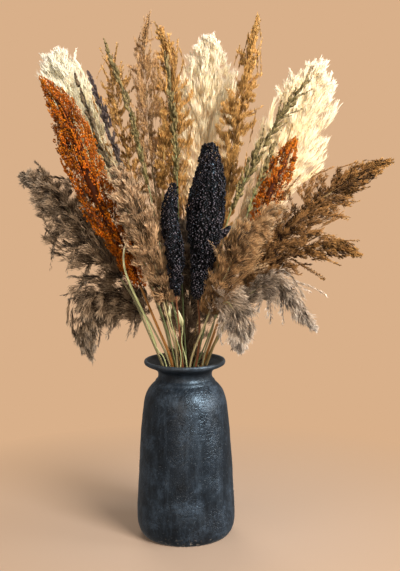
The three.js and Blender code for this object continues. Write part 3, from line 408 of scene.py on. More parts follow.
class Head:
    """A head's axis with its sideways and depth half sizes, read at s from 0 (low end) to 1 (tip)."""

    def __init__(self, rows, grow=1.0, low=0.0):
        Q, self.length = resample(crom(np.array(rows) * MM, 10), 96)
        deep = 0.5 if np.mean([q[1] for q in rows]) < 90 else -0.1
        C = Q[:, :3]
        T = unit(np.gradient(C, axis=0))
        B = unit(np.array([0, 1.0, 0]) - T * T[:, 1:2])
        N = np.cross(T, B)
        self.tab = np.concatenate([C, T, N, B, np.maximum(Q[:, 3:4], 0.0004) * grow, np.maximum(Q[:, 4:5], 0.0004) * grow**deep], 1)
        self.x = np.linspace(0, 1, 96)
        self.tab[:, 12:14] *= (1 + np.array([low, low * 0.3]) * (1 - self.x[:, None]) ** 1.4) * (1 - 0.3 * self.x[:, None] ** 6)

    def at(self, s):
        s = np.clip(s, 0, 1)
        r = np.stack([np.interp(s, self.x, self.tab[:, c]) for c in range(14)], -1)
        return r[..., :3], unit(r[..., 3:6]), unit(r[..., 6:9]), unit(r[..., 9:12]), r[..., 12], r[..., 13]


def perp_to(d, rng):
    r = rng.normal(size=d.shape)
    return unit(r - d * np.sum(r * d, axis=-1, keepdims=True))


def bezier(p0, p1, p2, p3, t):
    t = t[..., None]
    q = 1 - t
    return q**3 * p0 + 3 * q * q * t * p1 + 3 * q * t * t * p2 + t**3 * p3


def bez_dir(p0, p1, p2, p3, t):
    t = t[..., None]
    q = 1 - t
    return unit(3 * q * q * (p1 - p0) + 6 * q * t * (p2 - p1) + 3 * t * t * (p3 - p2))


DOWN = np.array([0, 0, -1.0])


def hairs_on(b, rng, P4, bshade, m, o, tau0, tau1, along=None):
    """m hairs or seeds on each branch. P4: four (n, 3) control points."""
    p0, p1, p2, p3 = P4
    n = len(p0)
    s = rng.random((n, m)) ** o.get("tipward", 0.85) * (1 - o["bare"]) + o["bare"]
    e = lambda a: a[:, None, :]
    base = bezier(e(p0), e(p1), e(p2), e(p3), s)
    tan = bez_dir(e(p0), e(p1), e(p2), e(p3), s)
    if along is not None:
        w = o.get("align", 0.0)
        tan = unit(tan * (1 - w) + e(along) * w)
    pr = perp_to(tan, rng)
    al = np.abs(rng.normal(0, o["spread"], (n, m))) + o.get("open", 0.0)
    al = np.clip(al, 0, 1.7)[..., None]
    d = unit(tan * np.cos(al) + pr * np.sin(al) + DOWN * o["sag"] * rng.random((n, m))[..., None])
    ln = rng.uniform(*o["len"], (n, m)) * MM * (1 - o.get("taper", 0.3) * s)
    near_tip = np.clip((1.0 - np.maximum(tau0, tau1)) / 0.22, 0, 1)[:, None]
    ln = ln * (1 - o.get("short", 0.5) * (1 - near_tip))
    ln = ln[..., None]
    base = base + pr * (o.get("off", 0.0) * MM * rng.random((n, m)) * (0.25 + 0.75 * near_tip))[..., None]
    bend = perp_to(d, rng) * o["curl"] * rng.uniform(0.3, 1.0, (n, m))[..., None]
    mid = base + d * ln * 0.5 + bend * ln * 0.25
    tip = base + d * ln + bend * ln * -0.35 + DOWN * ln * o["sag"] * 0.35
    pts = np.stack([base, mid, tip], 2).reshape(-1, 3, 3)
    r = (o["hair"] * MM * rng.uniform(0.7, 1.25, (n, m))).reshape(-1)
    rad = np.stack([r * 0, r, r * 0], 1)
    tau = (tau0[:, None] * (1 - s) + tau1[:, None] * s).reshape(-1)
    sh = 0.5 + o.get("vb", 0.2) * bshade[:, None] + o.get("vh", 0.16) * rng.normal(size=(n, m))
    sh = sh.reshape(-1)
    rare = rng.random(n * m) < o.get("rare", 0.05)
    sh = np.where(rare, sh + 0.5, sh)
    u = np.clip(sh, 0.02, 0.98) * 0.45 + 0.012
    wt = o.get("wt", 0.4)
    sv = s.reshape(-1)
    hv = lambda x: np.clip(wt * tau + (1 - wt) * (0.45 * sv + 0.55 * x), 0.02, 0.98)
    v = np.stack([hv(0.0), hv(0.5), hv(1.0)], 1)
    b.add(*strands(pts, rad, u, v, o.get("sides", 2), ref=unit(rng.normal(size=(len(pts), 3)))))


def twigs(b, rng, P4, bshade, o, tau0, tau1):
    p0, p1, p2, p3 = P4
    n = len(p0)
    k = 4
    t = np.tile(np.linspace(0, 1, k), (n, 1))
    e = lambda a: a[:, None, :]
    pts = bezier(e(p0), e(p1), e(p2), e(p3), t)
    rad = o["twig"] * MM * np.linspace(1.1, 0.4, k)[None] * np.ones((n, 1))
    rad[:, 0] = rad[:, -1] = 0
    tau = tau0[:, None] * (1 - t) + tau1[:, None] * t
    wt = o.get("wt", 0.4)
    v = np.clip(wt * tau + (1 - wt) * 0.4 * t, 0.02, 0.98)
    u = np.clip(0.42 + 0.15 * bshade, 0.02, 0.98) * 0.45 + 0.012
    b.add(*strands(pts, rad, u, v, 3))


def plume(b, head, rng, nb, nh, **o):
    """nb branchlets from the axis to the head's outer shape, nh hairs or seeds over all of them."""
    o.setdefault("bare", 0.15)
    t0 = o.get("t0", (0.0, 0.93))
    a = t0[0] + (t0[1] - t0[0]) * np.sort(rng.random(nb)) ** o.get("p", 1.0)
    adv = rng.uniform(*o["adv"], nb)
    cap = 1.0 - o.get("top", 0.45) * o["len"][0] * MM / head.length
    t1 = np.maximum(a + adv, 0.0)
    over = t1 > cap
    t1 = np.where(over, cap - 0.16 * rng.random(nb) ** 1.3, t1)
    a = np.where(over, np.minimum(a, t1 - 0.02), a)
    phi = rng.random(nb) * 2 * np.pi
    kk = np.sqrt(rng.uniform(o["k"][0] ** 2, o["k"][1] ** 2, nb))
    c0, T0, N0, B0, _, _ = head.at(a)
    c1, T1, N1, B1, rx, ry = head.at(t1)
    radial = np.cos(phi)[:, None] * N1 * rx[:, None] + np.sin(phi)[:, None] * B1 * ry[:, None]
    end = c1 + radial * kk[:, None]
    if o.get("lean") is not None:
        end = end + np.array(o["lean"]) * MM * rng.random((nb, 1))
    chord = np.linalg.norm(end - c0, axis=1, keepdims=True)
    rdir = unit(radial)
    droop = o["droop"] * rng.uniform(0.2, 1.0, (nb, 1))
    inr = o.get("inner", 0.0)
    if inr:
        ci, _, Ni, Bi, ri, qi = head.at(a)
        c0 = c0 + (np.cos(phi)[:, None] * Ni * ri[:, None] + np.sin(phi)[:, None] * Bi * qi[:, None]) * (kk * inr)[:, None]
        chord = np.linalg.norm(end - c0, axis=1, keepdims=True)
    p1 = c0 + unit(T0 + rdir * o.get("rise", 0.7)) * chord * 0.38
    p2 = end - unit(T1 + rdir * o.get("bend", 0.2)) * chord * 0.34 - DOWN * chord * droop * 0.35
    p3 = end + DOWN * chord * droop + perp_to(T1, rng) * chord * 0.05
    bshade = rng.normal(size=nb)
    # painted shade: a branch that ends nearer the axis (small kk) gets a darker shade, the shadow inside the head
    # painted in, on top of its random tone (bshade); deep sets how strong
    inner = (kk - np.mean(o["k"])) * o.get("deep", 3.2)
    sh = bshade + inner
    P4 = (c0, p1, p2, p3)
    if o["twig"] > 0:
        twigs(b, rng, P4, sh, o, a, t1)
    hairs_on(b, rng, P4, sh, max(1, nh // nb), o, a, t1, T1)


def side_branches(b, rng, head, side, per, twig_r=0.5, n_sub=5, fan=6.0, **o):
    """Stray branches along given rows of points, each a small sheaf of twigs with hairs."""
    o.setdefault("bare", 0.05)
    for row in side:
        R = np.array(row) * MM
        i = int(np.argmin(np.linalg.norm(head.tab[:, :3] - R[0], axis=1)))
        R = np.concatenate([head.tab[max(i - 7, 0)][None, :3], R])
        Q = crom(R, 6)
        L = len(Q) - 1
        q = [Q[0], Q[L // 3], Q[2 * L // 3], Q[L]]
        P4 = []
        for i, p in enumerate(q):
            jit = rng.normal(size=(n_sub, 3)) * fan * MM * (0.25, 0.6, 0.9, 0.6)[i]
            jit[0] *= 0.15
            P4.append(p[None] + jit)
        short = rng.uniform(0.55, 1.0, (n_sub, 1))
        short[0] = 1.0
        P4[3] = P4[0] + (P4[3] - P4[0]) * short
        P4[2] = P4[0] + (P4[2] - P4[0]) * short
        sh = rng.normal(size=n_sub)
        oo = dict(o, twig=twig_r)
        twigs(b, rng, P4, sh, oo, np.full(n_sub, 0.5), np.full(n_sub, 1.0))
        hairs_on(b, rng, P4, sh, max(1, per // n_sub), oo, np.full(n_sub, 0.5), np.full(n_sub, 1.0))


def stem(b, plant, rng, knots=2, sides=8, extra_top=3):
    """The round stem from its foot into the head, with slightly swollen joints and fine ribs."""
    rows = np.array(plant["stem"] + [h[:3] for h in plant["head"][:extra_top]]) * MM
    Q, length = resample(crom(rows, 8), 44)
    r = plant["r"] * MM
    n = len(Q)
    s = np.linspace(0, 1, n)
    w = np.full(n, r * 0.97) * (1 - 0.35 * np.clip((s - 0.6) / 0.4, 0, 1))
    for kpos in rng.uniform(0.35, 0.75, knots):
        w *= 1 + 0.16 * np.exp(-(((s - kpos) / 0.012) ** 2))
    w[0] = w[-1] = 0
    T = unit(np.gradient(Q, axis=0))
    B = unit(np.array([0, 1.0, 0]) - T * T[:, 1:2])
    N = np.cross(T, B)
    ang = np.arange(sides) / sides * 2 * np.pi
    rib = 1 + 0.05 * np.cos(ang * 4)
    ring = Q[1:-1, None] + w[1:-1, None, None] * rib[None, :, None] * (
        N[1:-1, None] * np.cos(ang)[None, :, None] + B[1:-1, None] * np.sin(ang)[None, :, None]
    )
    inner = n - 2
    V = np.concatenate([Q[:1], ring.reshape(-1, 3), Q[-1:]])
    shade = np.clip(0.5 + 0.3 * np.cos(ang * 2 + rng.random() * 6) + rng.normal(0, 0.08, (inner, sides)), 0.03, 0.97)
    uv = np.empty((len(V), 2))
    uv[:, 0] = 0.75
    uv[1:-1, 0] = 0.53 + 0.44 * shade.ravel()
    uv[:, 1] = np.r_[s[0], np.repeat(s[1:-1], sides), s[-1]] * 0.94 + 0.03
    j = np.arange(sides)
    j2 = (j + 1) % sides
    tri = [np.stack([np.zeros(sides, int), 1 + j2, 1 + j], 1)]
    for k in range(inner - 1):
        p, q = 1 + k * sides, 1 + (k + 1) * sides
        tri.append(np.stack([p + j, p + j2, q + j2], 1))
        tri.append(np.stack([p + j, q + j2, q + j], 1))
    p = 1 + (inner - 1) * sides
    tri.append(np.stack([p + j, p + j2, np.full(sides, len(V) - 1)], 1))
    F = np.concatenate(tri)
    # outward faces
    c = V[F]
    if np.einsum("ij,ij->i", c[:, 0], np.cross(c[:, 1], c[:, 2])).sum() < 0:
        F = F[:, ::-1]
    b.add(V, F, uv)


def rachis(b, head, plant, r0, rng):
    """The axis of a head, thinning to its tip."""
    s = np.linspace(0, 0.97, 26)
    C = head.at(s)[0]
    rad = r0 * MM * (1 - 0.85 * s)
    rad[0] = rad[-1] = 0
    b.add(*strands(C[None], rad[None], np.array([0.7]), np.clip(s, 0.05, 0.95)[None], 6))


PHI = (1 + 5**0.5) / 2
ICO_V = unit(np.array([(-1, PHI, 0), (1, PHI, 0), (-1, -PHI, 0), (1, -PHI, 0), (0, -1, PHI), (0, 1, PHI), (0, -1, -PHI), (0, 1, -PHI), (PHI, 0, -1), (PHI, 0, 1), (-PHI, 0, -1), (-PHI, 0, 1)], float))
ICO_F = np.array([(0, 11, 5), (0, 5, 1), (0, 1, 7), (0, 7, 10), (0, 10, 11), (1, 5, 9), (5, 11, 4), (11, 10, 2), (10, 7, 6), (7, 1, 8), (3, 9, 4), (3, 4, 2), (3, 2, 6), (3, 6, 8), (3, 8, 9), (4, 9, 5), (2, 4, 11), (6, 2, 10), (8, 6, 7), (9, 8, 1)])


def beads(b, pos, out, rad, shade, rng, squash=1.0):
    """Round grains at pos, coloured by how their surface faces: painted shade on the side towards the middle of the
    head, a painted highlight at the tip that faces out.
    """
    n = len(pos)
    a = perp_to(out, rng)
    c = np.cross(out, a)
    R = np.stack([a, c, out * squash], 1)
    V = pos[:, None] + np.einsum("vk,nkj->nvj", ICO_V, R) * rad[:, None, None]
    uv = np.empty((n, 12, 2))
    uv[:, :, 0] = (np.clip(shade, 0.02, 0.98) * 0.45 + 0.012)[:, None]
    uv[:, :, 1] = np.clip(0.5 + 0.48 * ICO_V[:, 2], 0.02, 0.98)[None]
    F = (ICO_F[None] + (np.arange(n) * 12)[:, None, None]).reshape(-1, 3)
    b.add(V.reshape(-1, 3), F, uv.reshape(-1, 2))


def grain_head(b, head, rng, n, size, layers=((1.0, 1.0),), lump=3.6):
    """A dense head of round grains: an even spiral over the outer shape, made lumpy by its grain clusters."""
    dense = head.at(np.linspace(0, 1, 400))
    w = (dense[4] + dense[5]) * 1.0 + 0.0015
    cdf = np.r_[0, np.cumsum(w)[:-1]]
    cdf /= cdf[-1]
    spots = rng.random((int(head.length * 2300), 2)) * (1, 2 * np.pi)
    amp = rng.normal(0, 1, len(spots))
    for scale, share in layers:
        m = int(n * share)
        i = np.arange(m)
        s = np.interp((i + 0.5) / m, cdf, np.linspace(0, 1, 400))
        phi = i * 2.39996323 + rng.normal(0, 0.05, m)
        C, T, N, B, rx, ry = head.at(s)
        ds = (s[:, None] - spots[None, :, 0]) * head.length / 0.0038
        dp = (np.mod(phi[:, None] - spots[None, :, 1] + np.pi, 2 * np.pi) - np.pi) * ((rx + ry) / 2)[:, None] / 0.0038
        lumpy = lump * MM * np.clip((np.exp(-0.5 * (ds**2 + dp**2)) * amp).sum(1), -1, 1) * 0.6 + rng.normal(0, 0.7, m) * MM
        rx2, ry2 = np.maximum(rx * scale - size * MM + lumpy, 0.0006), np.maximum(ry * scale - size * MM + lumpy, 0.0006)
        rad_v = np.cos(phi)[:, None] * N * rx2[:, None] + np.sin(phi)[:, None] * B * ry2[:, None]
        out = unit(unit(rad_v) + T * 0.35 + rng.normal(0, 0.18, (m, 3)))
        pos = C + rad_v
        r = size * MM * rng.uniform(0.75, 1.15, m)
        # grain shade: one in five grains takes the light row nearly fully, so its painted highlight on the outward tip
        # shows; the rest stay near black, with painted shade on grains in the dips between clusters and paler raised
        # ones, plus random tone
        beads(b, pos, out, r, np.where(rng.random(m) < 0.2, 0.98, 0.16 + rng.normal(0, 0.12, m) + lumpy / (lump * MM) * 0.3), rng, 0.95)


# ------------------------------------------------------------------ the vase


OUTSIDE = [(0, 0), (60, 0), (85, 0), (89.5, 3), (96, 13), (99.5, 28), (100, 50), (97.7, 96), (94.8, 150), (91.4, 205), (87.6, 245), (83.5, 277), (80.2, 289.5), (76, 299), (70, 307.5), (64.2, 313.5), (61, 316.5), (60.2, 319.5), (56.6, 323), (54.4, 330), (56, 338.5), (63.5, 345), (76.5, 350.5), (81.5, 354), (82.3, 358), (80.8, 361)]
INSIDE = [(77, 361), (74.5, 358), (62, 350.5), (51, 342.5), (46.4, 334), (46.4, 326), (49.5, 318), (58, 309), (68.5, 298), (75.5, 277), (83.4, 205), (89.7, 96), (92, 50), (90, 24), (80, 12), (0, 12)]


def vase():
    rng = np.random.default_rng(11)

    def dense(rows, step):
        P = np.array([(r, 0, z) for r, z in rows], float)
        Q = crom(P, 8)
        s = np.r_[0, np.cumsum(np.linalg.norm(np.diff(Q, axis=0), axis=1))]
        n = int(s[-1] / step)
        w = np.linspace(0, s[-1], n)
        return np.stack([np.interp(w, s, Q[:, 0]), np.interp(w, s, Q[:, 2])], 1)

    out = dense(OUTSIDE[2:], 2.6)
    ins = dense(INSIDE[:-1], 5.0)
    prof = np.concatenate([[(0, 0), (50, 0)], out, ins, [(40, 12), (0, 12)]])
    cols = 116
    ang = np.arange(cols) / cols * 2 * np.pi
    r, z = prof[:, 0][:, None], prof[:, 1][:, None]
    X, Y, Z = r * np.cos(ang), r * np.sin(ang), z + 0 * ang[None]
    n_out = 2 + len(out)
    # the wall's slow swells and its small hammered dents, on the outside only
    bump = np.zeros_like(X)
    for amp, size, count in ((0.28, 70, 10), (0.16, 22, 16), (0.09, 9, 22)):
        for _ in range(count):
            d = rng.normal(size=3)
            d = d / np.linalg.norm(d) * 2 * math.pi / (size * rng.uniform(0.7, 1.4))
            bump += amp / math.sqrt(count) * np.sin(X * d[0] + Y * d[1] + Z * d[2] + rng.random() * 6.3)
    fade = np.clip((Z - 1.0) / 8, 0, 1) * (np.arange(len(prof)) < n_out)[:, None]
    X, Y = X + np.cos(ang) * bump * fade, Y + np.sin(ang) * bump * fade
    rows = len(prof)
    V = np.stack([X[1:-1], Y[1:-1], Z[1:-1]], -1).reshape(-1, 3)
    V = np.concatenate([[[0, 0, 0]], V, [[0, 0, 12]]]) * MM
    j = np.arange(cols)
    j2 = (j + 1) % cols
    tri = [np.stack([np.zeros(cols, int), 1 + j2, 1 + j], 1)]
    for i in range(rows - 3):
        p, q = 1 + i * cols, 1 + (i + 1) * cols
        tri += [np.stack([p + j, p + j2, q + j2], 1), np.stack([p + j, q + j2, q + j], 1)]
    p = 1 + (rows - 3) * cols
    tri.append(np.stack([p + j, p + j2, np.full(cols, len(V) - 1)], 1))
    uv = np.full((len(V), 2), 0.5)
    b = Build()
    b.add(V, np.concatenate(tri), uv)

    k = Nodes("ceramic_dark")
    tc = k.new("ShaderNodeTexCoord").outputs["Object"]
    sep = k.new("ShaderNodeSeparateXYZ")
    k.link(tc, sep.inputs[0])
    height = sep.outputs[2]

    def noise(scale, detail=4.0, rough=0.55, stretch=None, distort=0.0):
        n = k.new("ShaderNodeTexNoise")
        n.inputs["Scale"].default_value = scale
        n.inputs["Detail"].default_value = detail
        n.inputs["Roughness"].default_value = rough
        n.inputs["Distortion"].default_value = distort
        if stretch:
            mp = k.new("ShaderNodeMapping")
            mp.inputs["Scale"].default_value = stretch
            k.link(tc, mp.inputs[0])
            k.link(mp.outputs[0], n.inputs["Vector"])
        else:
            k.link(tc, n.inputs["Vector"])
        return n.outputs[0]

    clouds = noise(19, 9, 0.76, distort=0.3)
    base = k.ramp(clouds, [(0.3, lin(V_DARK)), (0.5, lin(V_MID)), (0.72, lin(V_PALE))])
    # brushed slip: faint upright streaks
    streak = noise(64, 6, 0.7, stretch=(1.0, 1.0, 0.14))
    base = k.mix(k.grey(streak, [(0.5, 0.0), (0.78, 0.28)]), base, lin(V_STREAK))
    warm = noise(7, 3, 0.5)
    base = k.mix(k.grey(warm, [(0.55, 0.0), (0.78, 0.35)]), base, lin((40, 34, 29)))
    # fine pits filled darker, small pale specks
    vor = k.new("ShaderNodeTexVoronoi", feature="DISTANCE_TO_EDGE")
    vor.inputs["Scale"].default_value = 150
    k.link(tc, vor.inputs["Vector"])
    crack = k.grey(vor.outputs[0], [(0.0, 1.0), (0.12, 0.0)])
    patch = k.grey(noise(18, 3), [(0.42, 0.0), (0.62, 0.9)])
    cr = k.math("MULTIPLY", crack, patch)
    base = k.mix(k.math("MULTIPLY", cr, 0.75), base, lin((16, 17, 19)))
    speck = k.grey(noise(420, 2, 0.5), [(0.66, 0.0), (0.74, 1.0)])
    base = k.mix(k.math("MULTIPLY", speck, 0.35), base, lin((128, 132, 134)))
    # the lip's edge and the neck ring are rubbed paler, the foot has tiny chips
    edge = k.math("MULTIPLY", k.grey(height, [(0.351, 0.0), (0.3585, 1.0)]), k.grey(noise(60, 4), [(0.35, 0.15), (0.65, 1.0)]))
    base = k.mix(k.math("MULTIPLY", edge, 0.25), base, lin((104, 108, 112)))
    foot = k.math("MULTIPLY", k.grey(height, [(0.004, 1.0), (0.02, 0.0)]), k.grey(noise(150, 3, 0.6), [(0.6, 0.0), (0.66, 1.0)]))
    base = k.mix(k.math("MULTIPLY", foot, 0.8), base, lin((176, 160, 144)))
    # painted shade: the faces that look towards the axis, inside the mouth and the neck, are darkened to near black
    flat, dot = k.new("ShaderNodeVectorMath", operation="MULTIPLY"), k.new("ShaderNodeVectorMath", operation="DOT_PRODUCT")
    flat.inputs[1].default_value = (10, 10, 0)
    k.link(tc, flat.inputs[0])
    k.link(flat.outputs[0], dot.inputs[0])
    k.link(k.new("ShaderNodeTexCoord").outputs["Normal"], dot.inputs[1])
    inner = k.grey(k.math("ADD", dot.outputs["Value"], 0.5), [(0.1, 1.0), (0.42, 0.0)])
    base = k.mix(inner, base, lin((13, 11, 9)))
    k.link(base, k.bsdf.inputs["Base Color"])
    rough = k.grey(noise(30, 5, 0.6), [(0.3, 0.3), (0.7, 0.46)])
    k.link(rough, k.bsdf.inputs["Roughness"])
    k.bsdf.inputs["Specular IOR Level"].default_value = 0.42
    b1 = k.new("ShaderNodeBump")
    b1.inputs["Strength"].default_value = 0.5
    b1.inputs["Distance"].default_value = 0.0011
    hh = k.math("ADD", noise(95, 4, 0.6), k.math("MULTIPLY", streak, 0.5))
    hh = k.math("SUBTRACT", hh, k.math("MULTIPLY", cr, 0.8))
    hh = k.math("ADD", hh, k.math("MULTIPLY", noise(320, 3, 0.6), 0.35))
    k.link(hh, b1.inputs["Height"])
    k.link(b1.outputs[0], k.bsdf.inputs["Normal"])
    ob = b.make("vase_body", k.mat)
    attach(ob, "root")
    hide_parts("vase")


V_DARK, V_MID, V_PALE, V_STREAK = (6, 6, 7), (24, 30, 37), (68, 80, 93), (88, 101, 114)

# ------------------------------------------------------------------ plant colours
# dark and light: the darkest and palest fibres or grains, partly random tone and partly a painted shade on the
# branches deep inside a head; each row runs from the low end of a head (or the root of a hair) to its tip, and on
# round grains from the side facing the middle (painted shade) to the side facing out (painted highlight). stem: dark
# row, pale row.
MAT = {
    "cream_left": plant_material("plume_cream_left", [(246, 198, 132), (255, 234, 183), (255, 249, 219), (255, 249, 238)], [(249, 223, 169), (255, 240, 204), (255, 245, 222), (255, 245, 233)], [(150, 130, 84), (178, 160, 110), (206, 190, 140), (226, 214, 168)], sheen=0.05),
    "cream": plant_material("plume_cream", [(233, 171, 105), (255, 214, 158), (255, 244, 201), (255, 247, 237)], [(236, 202, 139), (250, 225, 179), (255, 234, 204), (255, 240, 222)], [(150, 130, 84), (178, 160, 110), (206, 190, 140), (226, 214, 168)], sheen=0.05),
    "beige": plant_material("plume_beige", [(20, 13, 6), (32, 20, 11), (40, 28, 16), (48, 35, 22)], [(155, 112, 72), (189, 146, 100), (210, 168, 125), (235, 210, 173)], [(112, 92, 58), (140, 120, 78), (170, 150, 104), (196, 178, 132)], sheen=0.04),
    "beige_brown": plant_material("plume_beige_brown", [(16, 9, 4), (28, 17, 9), (38, 24, 14), (48, 32, 19)], [(117, 80, 44), (155, 111, 67), (188, 143, 94), (230, 200, 160)], [(112, 92, 58), (140, 120, 78), (170, 150, 104), (196, 178, 132)], sheen=0.04),
    "taupe": plant_material("plume_taupe", [(17, 10, 7), (25, 17, 11), (35, 24, 16), (42, 31, 22)], [(107, 81, 57), (134, 106, 78), (156, 129, 100), (199, 179, 156)], [(86, 72, 44), (110, 98, 62), (150, 136, 92), (178, 164, 122)], sheen=0.04),
    "grey": plant_material("plume_grey", [(28, 20, 13), (43, 31, 22), (57, 44, 33), (71, 59, 47)], [(146, 117, 90), (182, 156, 128), (208, 185, 161), (253, 238, 222)], [(86, 72, 44), (110, 98, 62), (150, 136, 92), (178, 164, 122)], sheen=0.04),
    "tan": plant_material("reed_tan", [(65, 41, 20), (90, 60, 29), (118, 84, 43), (150, 114, 63)], [(146, 101, 52), (183, 134, 71), (216, 164, 93), (246, 195, 119)], [(120, 88, 44), (150, 118, 64), (178, 146, 86), (200, 172, 112)]),
    "brown": plant_material("reed_brown", [(23, 14, 7), (34, 20, 12), (45, 28, 15), (63, 41, 20)], [(101, 68, 40), (130, 92, 54), (164, 116, 65), (199, 147, 79)], [(96, 72, 40), (124, 98, 58), (156, 128, 80), (182, 156, 104)]),
    "reed_taupe": plant_material("reed_taupe", [(60, 40, 24), (90, 65, 41), (113, 86, 56), (118, 91, 68)], [(140, 100, 60), (183, 140, 92), (214, 166, 109), (185, 148, 111)], [(96, 76, 44), (124, 102, 62), (156, 134, 86), (182, 160, 110)]),
    "orange": plant_material("seed_orange", [(30, 11, 1), (49, 21, 2), (65, 30, 3), (77, 39, 5)], [(187, 77, 6), (227, 106, 10), (230, 128, 15), (230, 154, 25)], [(116, 62, 18), (150, 92, 34), (182, 116, 50), (196, 140, 78)], rough=0.6, spec=0.22),
    # painted highlight: the last two stops of the black light row brighten only the tip of each grain that faces out;
    # the other stops are the grains' own near black
    "black": plant_material("seed_black", [(2, 2, 2), (4, 3, 4), (6, 4, 5)], [(5, 4, 4), (6, 4, 5), (8, 6, 7), (10, 8, 9), (24, 20, 22), (150, 136, 142)], [(66, 16, 14), (96, 38, 26), (132, 78, 46), (150, 104, 66)], rough=0.22, spec=0.2),
    "green": plant_material("spike_green", [(62, 55, 27), (74, 64, 36), (82, 70, 45)], [(133, 119, 68), (150, 130, 83), (164, 140, 97)], [(84, 92, 50), (110, 118, 68), (140, 148, 96), (166, 172, 122)], rough=0.7),
    "grey_green": plant_material("spike_grey_green", [(53, 46, 29), (63, 53, 37), (70, 57, 42)], [(117, 102, 72), (128, 108, 79), (130, 108, 86)], [(84, 92, 50), (110, 118, 68), (140, 148, 96), (166, 172, 122)], rough=0.7),
    "purple": plant_material("spike_purple", [(53, 45, 37), (60, 50, 45), (68, 54, 55)], [(105, 93, 77), (112, 96, 89), (117, 99, 99)], [(84, 92, 50), (110, 118, 68), (140, 148, 96), (166, 172, 122)], rough=0.7),
    "leaf": plant_material("leaf_pale_green", [(96, 92, 50), (132, 124, 74), (176, 160, 110)], [(140, 138, 88), (184, 178, 128), (236, 226, 190)], [(84, 88, 44), (116, 120, 66), (150, 152, 98), (196, 194, 144)], rough=0.6),
}

# ------------------------------------------------------------------ how each kind grows
CREAM = dict(adv=(0.0, 0.2), k=(0.1, 1.0), droop=0.0, align=0.75, spread=0.2, open=0.04, len=(20, 38), off=5.0, hair=0.76, rise=0.5, bend=0.5, sag=0.06, curl=0.09, twig=0.32, deep=0.5, vb=0.07, vh=0.09, rare=0.05, wt=0.5, short=0.55, bare=0.2)
TAUPE = dict(adv=(-0.03, 0.18), k=(0.1, 1.05), droop=0.08, align=0.55, spread=0.32, open=0.06, len=(14, 27), off=4.0, hair=0.62, sag=0.16, curl=0.3, rise=0.4, bend=0.5, twig=0.4, vb=0.3, vh=0.24, rare=0.2, wt=0.4)
BEIGE = dict(TAUPE, droop=0.03, spread=0.34, sag=0.08, curl=0.3, len=(13, 24), vb=0.3)
REED = dict(adv=(0.0, 0.12), k=(0.1, 1.0), droop=0.0, align=0.75, spread=0.22, open=0.05, len=(10, 18), off=3.0, hair=0.94, rise=0.6, bend=0.3, sag=0.03, curl=0.3, twig=0.3, vb=0.3, vh=0.24, rare=0.09, wt=0.5)
ORANGE = dict(sides=3, adv=(0.03, 0.10), k=(0.55, 1.0), inner=0.75, droop=0.0, spread=0.3, open=0.1, len=(4.8, 7.4), hair=1.4, sag=0.0, curl=0.15, twig=0.5, vb=0.26, vh=0.2, rare=0.06, wt=0.2, off=3.4, rise=0.25, bend=0.1, bare=0.03)
SPIKE = dict(sides=3, adv=(0.02, 0.09), k=(0.0, 0.9), droop=0.0, align=0.95, spread=0.12, open=0.03, len=(10, 17), hair=2.0, sag=0.0, curl=0.12, twig=0.0, vb=0.22, vh=0.2, rare=0.05, wt=0.4)


def kind(name, seed, mat, style, nb, nh, knots=2, side_per=0, side=None, rach=1.0, grow=1.0, low=0.0, locks=0, extra=None, down=(), shift=0, **over):
    """One plant: its stem, axis, head and stray side branches, joined as one piece."""
    p = PLANTS[name]
    rng = np.random.default_rng(seed)
    b = Build()
    thin = [(*q, *w) for q, w in zip(p["stem"][len(p["stem"]) - len(down):], down)]
    h = Head(thin + [(q[0] + shift, *q[1:]) for q in p["head"]], grow, low)
    stem(b, p, rng, knots)
    if rach:
        rachis(b, h, p, p["r"] * 0.8 * rach, rng)
    o = dict(style, **over)
    plume(b, h, rng, nb, nh, **o)
    if locks:
        lo = dict(o, adv=(0.08, 0.17), k=(0.8, 1.06), inner=0.8, rise=0.2, bend=0.05, align=0.15, spread=0.13, open=0.0, off=1.2, droop=o["droop"] * 0.8, vb=0.34, curl=o["curl"] * 0.7)
        plume(b, h, rng, locks, locks * 46, **lo)
    if side_per and p["side"]:
        so = dict(o, **(side or {}))
        n_sub, fan, tw = so.pop("n_sub", 5), so.pop("fan", 5.0), so.pop("twig_r", 0.45)
        so.pop("twig", None)
        side_branches(b, rng, h, [[(q[0] + shift, *q[1:]) for q in row] for row in p["side"]], side_per, tw, n_sub, fan, **so)
    if extra:
        extra(b, h, p, rng)
    done(name, b, mat)


COUNT = {}


def done(name, b, mat):
    ob = b.make(name + "_plant", MAT[mat])
    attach(ob, "root")
    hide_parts(name)
    COUNT[name] = b.triangles()


def dark_shade_core(b, h, scale, u=0.02, lo=0.02, hi=0.97):
    """Painted shade: a dark filled middle stands in for the shadowed inside of a dense head, and no light shows
    through it.
    """
    s = np.linspace(lo, hi, 40)
    C, T, N, B, rx, ry = h.at(s)
    ang = np.arange(12) / 12 * 2 * np.pi
    w = np.sin(np.linspace(0, np.pi, 40)) ** 0.25
    ring = C[:, None] + (N[:, None] * np.cos(ang)[None, :, None] * rx[:, None, None] + B[:, None] * np.sin(ang)[None, :, None] * ry[:, None, None]) * scale * w[:, None, None]
    V = ring.reshape(-1, 3)
    j = np.arange(12)
    j2 = (j + 1) % 12
    tri = []
    for i in range(39):
        p, q = i * 12, (i + 1) * 12
        tri += [np.stack([p + j, p + j2, q + j2], 1), np.stack([p + j, q + j2, q + j], 1)]
    uv = np.tile([u, 0.2], (len(V), 1))
    b.add(V, np.concatenate(tri), uv)


